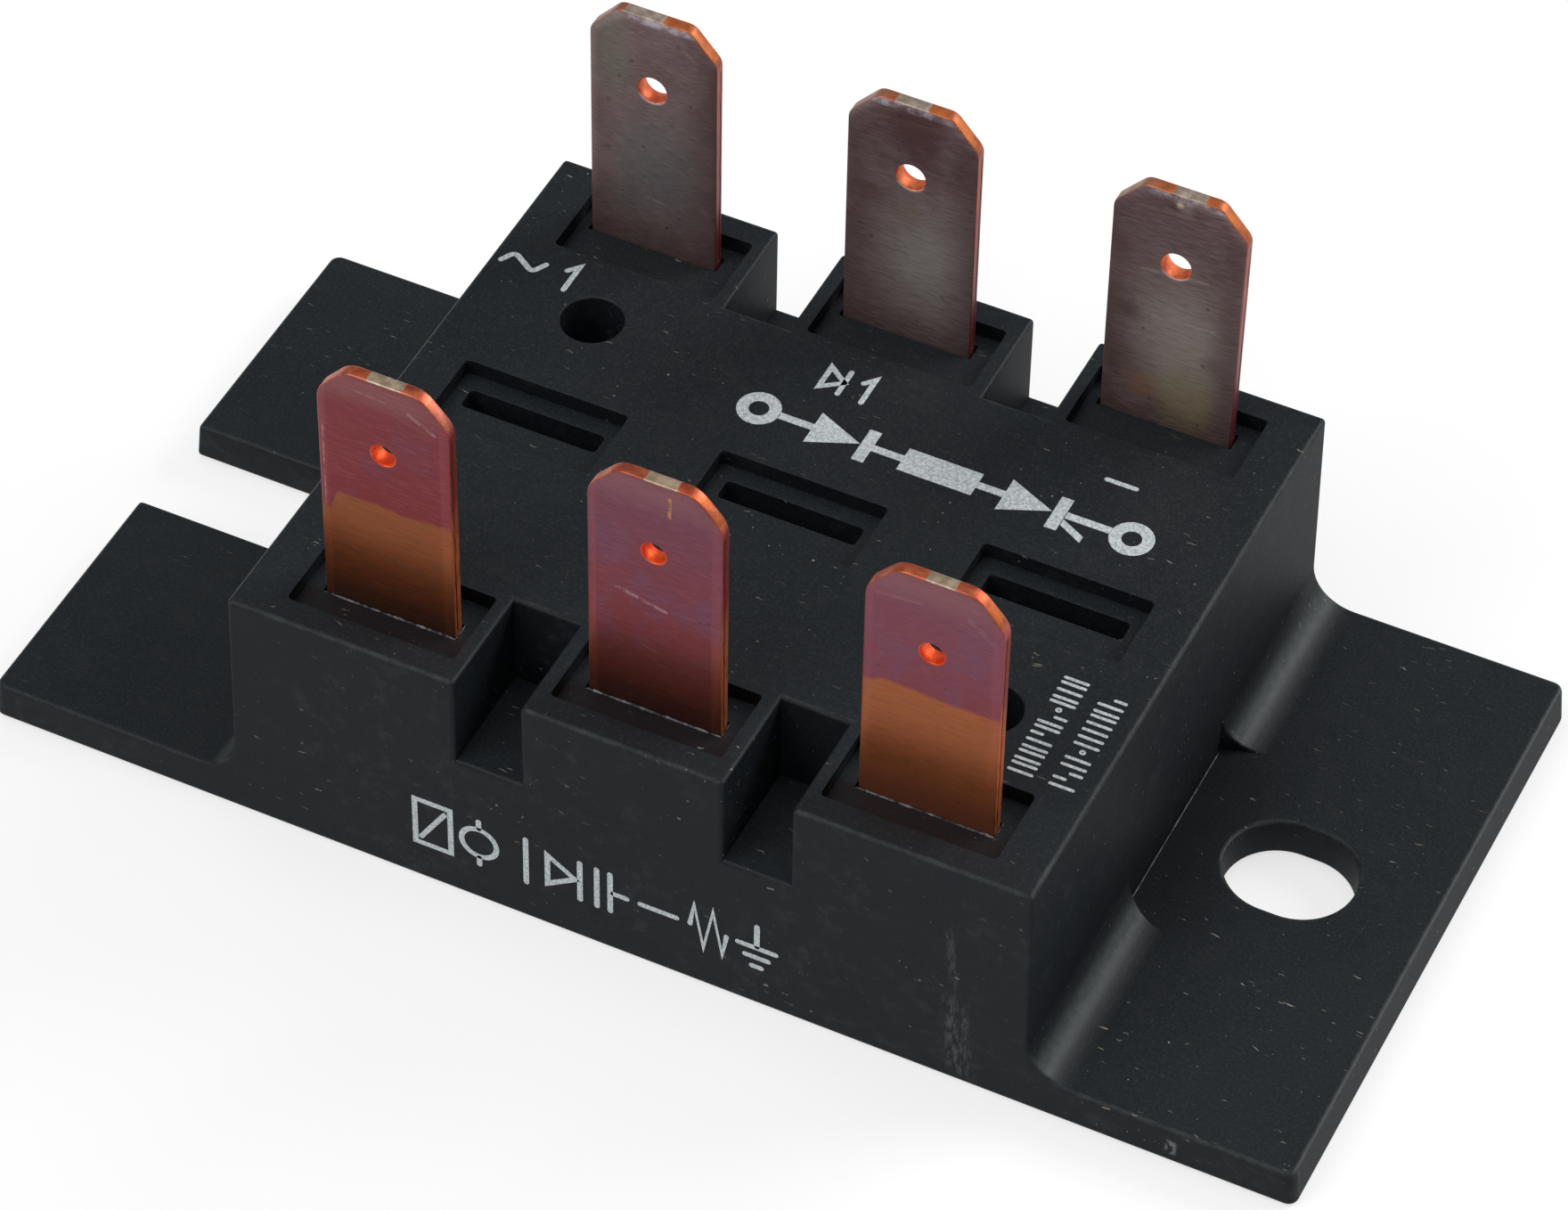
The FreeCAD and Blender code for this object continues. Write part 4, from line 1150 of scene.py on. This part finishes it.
# height, slope and left-hand step of the tint boundary; dark foot; violets; centre of the tinned patch; rubs; foot and amber tones
FRONT_LOOK = {"left": (18.93, 0.01, -1.1, False, ((128, 40, 45), (122, 43, 52), (116, 54, 72)), 0.10,
                       (((1.3, 12.6), (2.5, 11.9), 0.13, 0.40, (176, 150, 148)), ((-2.9, 5.5), (-2.9, 10.2), 0.05, 0.5, (204, 176, 176)),
                        ((-1.4, 12.9), (0.2, 12.8), 0.08, 0.25, (176, 150, 140))),
                       ((94, 56, 40), (134, 72, 44)), ((134, 72, 34), (150, 84, 36), (126, 68, 24))),
              "middle": (16.6, 0.16, 0.0, True, ((127, 51, 57), (116, 62, 80), (110, 70, 98)), 0.25,
                         (((-1.75, 6.9), (0.55, 6.35), 0.12, 0.42, (196, 172, 176)), ((0.75, 13.1), (0.72, 12.0), 0.11, 0.6, (196, 150, 84)),
                          ((0.3, 3.2), (1.0, 3.1), 0.07, 0.5, (60, 34, 30)), ((-0.5, 3.9), (0.2, 3.7), 0.06, 0.3, (170, 128, 120))),
                         ((92, 50, 42), (130, 64, 54)), ((150, 88, 48), (172, 106, 54), (140, 82, 36))),
              "right": (19.5, -0.015, -0.25, False, ((130, 55, 62), (122, 66, 82), (114, 72, 98)), 0.18,
                        (((1.6, 12.3), (2.7, 11.4), 0.18, 0.28, (142, 122, 132)), ((-2.6, 12.1), (-0.6, 12.3), 0.12, 0.22, (160, 120, 132))),
                        ((160, 92, 64), (180, 102, 64)), ((162, 92, 50), (166, 96, 50), (142, 78, 34)))}
# centre and colour of the haze, stained patch, centre and half width of the tinned patch, rubs
REAR_LOOK = {"left": (0.2, 5.0, (134, 130, 132), (-2.2, 11.2, 1.5, (124, 126, 108)), -0.5, 0.92,
                      (((-0.3, 3.1), (0.5, 3.0), 0.06, 0.5, (200, 190, 184)), ((1.4, 12.6), (2.0, 12.2), 0.12, 0.5, (180, 150, 130))), ()),
             "middle": (0.9, 4.6, (188, 180, 176), None, -0.15, 0.76,
                        (((-2.2, 12.6), (2.4, 12.9), 0.14, 0.35, (170, 140, 132)), ((-0.6, 4.0), (0.9, 4.3), 0.10, 0.35, (196, 186, 180))),
                        ((-0.1, 7.4, 1.1, 0.40, (150, 122, 96)), (-2.3, 8.5, 1.4, 0.30, (108, 70, 70)), (0.2, 12.2, 3.0, 0.62, (96, 60, 62)))),
             "right": (0.3, 5.0, (200, 188, 180), (0.9, 2.4, 2.0, (176, 160, 116)), 0.30, 0.72,
                       (((-2.0, 12.5), (1.8, 12.7), 0.12, 0.4, (176, 144, 134)), ((-0.5, 12.95), (1.1, 12.75), 0.12, 0.45, (62, 46, 46)),
                       ((-1.6, 8.9), (1.5, 9.2), 0.10, 0.35, (206, 188, 180)), ((-0.9, 6.3), (2.0, 6.5), 0.12, 0.30, (214, 200, 192))),
                       # the near-white blob at the tip of the right-hand blade is a painted highlight on a small bump
                       ((0.25, 13.12, 0.50, 0.55, (182, 166, 156)), (-0.05, 13.20, 0.22, 0.95, (250, 222, 190)), (-2.0, 6.2, 0.8, 0.45, (78, 62, 54)),
                        (-1.2, 1.9, 1.3, 0.36, (180, 114, 72)), (0.6, 2.0, 2.0, 0.36, (176, 160, 114)), (-2.2, 3.4, 1.2, 0.34, (100, 82, 62)), (2.1, 4.5, 0.8, 0.30, (76, 60, 58)),
                        (-2.6, 10.0, 1.6, 0.30, (112, 78, 92))))}
for cname, i in cols:
    x = i * PITCH
    blade("blade_front_" + cname, "tab_front_" + cname, x, FRONT_Y, 1, blade_front("tinted_copper_front_" + cname, x, *FRONT_LOOK[cname]), 11 + i)
    x = i * PITCH + REAR_DX
    hu, hv, wm, pt, tu, tw, mk, bl = REAR_LOOK[cname]
    blade("blade_rear_" + cname, "tab_rear_" + cname, x, REAR_Y, -1, blade_rear("dull_copper_rear_" + cname, x, hu, hv, wm, tu, tw, mk, patch=pt, blobs=bl), 31 + i)

ink_piece("marking_terminals", labels, on_top)
ink_piece("marking_symbol_line", emblem, on_top)
ink_piece("marking_tick_code", tick_code, on_top)
ink_piece("marking_front_row", front_row, on_front)

looks = {
    "base_metal": simple("nickel_plate", (150, 146, 138), (184, 180, 172), 0.5, (0.25, 0.42), 1.0, stretch=(0.6, 6.0, 6.0)),
    "adhesive": simple("adhesive_bead", (110, 110, 106), (140, 139, 134), 0.8, (0.5, 0.7)),
    "solder": simple("solder_joint", (140, 142, 145), (176, 178, 180), 1.6, (0.28, 0.5), 1.0),
    "copper": simple("bare_copper", (170, 92, 62), (206, 124, 88), 0.9, (0.25, 0.45), 1.0, stretch=(1, 4, 1)),
    "alumina": simple("white_alumina", (214, 212, 204), (232, 231, 224), 2.5, (0.4, 0.6)),
    "silicon": simple("die_face", (96, 98, 104), (126, 128, 136), 1.8, (0.12, 0.25), 1.0),
    "lead_wire": simple("tinned_wire", (170, 170, 170), (202, 202, 200), 2.0, (0.2, 0.4), 1.0),
    "gel": simple("silicone_gel", (170, 176, 172), (196, 200, 196), 0.4, (0.1, 0.2)),
    "potting": simple("cast_epoxy", (18, 18, 20), (28, 28, 30), 0.6, (0.25, 0.45)),
}
slots = {s["node"]: s["material_slot"] for s in frame["record"]["subparts"]}
for nname, ob in nodes.items():
    m = looks.get(slots.get(nname))
    if m:
        for s in ob.material_slots:
            s.material = m

# ---------------------------------------------------------------- floor, light, camera
bm = bmesh.new()
R = 1.2
vs = [bm.verts.new(p) for p in ((-R, -R, 0), (R, -R, 0), (R, R, 0), (-R, R, 0))]
bm.faces.new(vs)
floor_mat = simple("pale_floor", (150, 150, 150), (153, 153, 153), 0.02, (0.6, 0.7), 0.0, bump=0.0)
floor_bsdf = floor_mat.node_tree.nodes["Principled BSDF"]
floor_bsdf.inputs["Emission Color"].default_value = (1.0, 1.0, 1.0, 1.0)
floor_bsdf.inputs["Emission Strength"].default_value = 0.66
floor = make_obj("floor", bm, (floor_mat,), scale=1.0)
floor.location = (0, 0, -0.0001)

world = bpy.data.worlds.new("studio") if bpy.context.scene.world is None else bpy.context.scene.world
bpy.context.scene.world = world
world.use_nodes = True
bg = world.node_tree.nodes.get("Background") or world.node_tree.nodes.new("ShaderNodeBackground")
bg.inputs[0].default_value = (1.0, 1.0, 1.0, 1.0)
bg.inputs[1].default_value = 0.25


def area(name, loc, size, power, color=(1, 1, 1)):
    li = bpy.data.lights.new(name, "AREA")
    li.shape = "RECTANGLE"
    li.size, li.size_y = size
    li.energy = power
    li.color = color
    o = bpy.data.objects.new(name, li)
    coll.objects.link(o)
    o.location = loc
    d = Vector((0, 0, 0.008)) - Vector(loc)
    o.rotation_euler = d.to_track_quat("-Z", "Y").to_euler()
    return o


area("overhead", (-0.02, -0.10, 0.80), (0.80, 0.80), 3.0)
area("key", (-0.30, -0.42, 0.50), (0.40, 0.40), 1.8)
area("window", (0.405, 0.47, 0.42), (0.42, 0.34), 3.3)

cam_data = bpy.data.cameras.new("camera")
cam = bpy.data.objects.new("camera", cam_data)
coll.objects.link(cam)
right = Vector((0.8992749807670805, 0.437153422551037, 0.01419133955204307))
down = Vector((0.3241973046262537, -0.6444293667905024, -0.692536568630902))
fwd = Vector((-0.2935994152573178, 0.6273816034678626, -0.7212431677254589))
up, back = -down, -fwd
rot = Matrix((right, up, back)).transposed().to_4x4()
cam.matrix_world = Matrix.Translation(Vector((81.8998, -174.9368, 208.2499)) * MM) @ rot
cam_data.sensor_fit = "HORIZONTAL"
cam_data.sensor_width = 36.0
cam_data.lens = 7056.413 * 36.0 / 1760.0
cam_data.clip_start = 0.01
cam_data.clip_end = 10.0
bpy.context.scene.camera = cam
bpy.context.scene.view_settings.view_transform = "Standard"
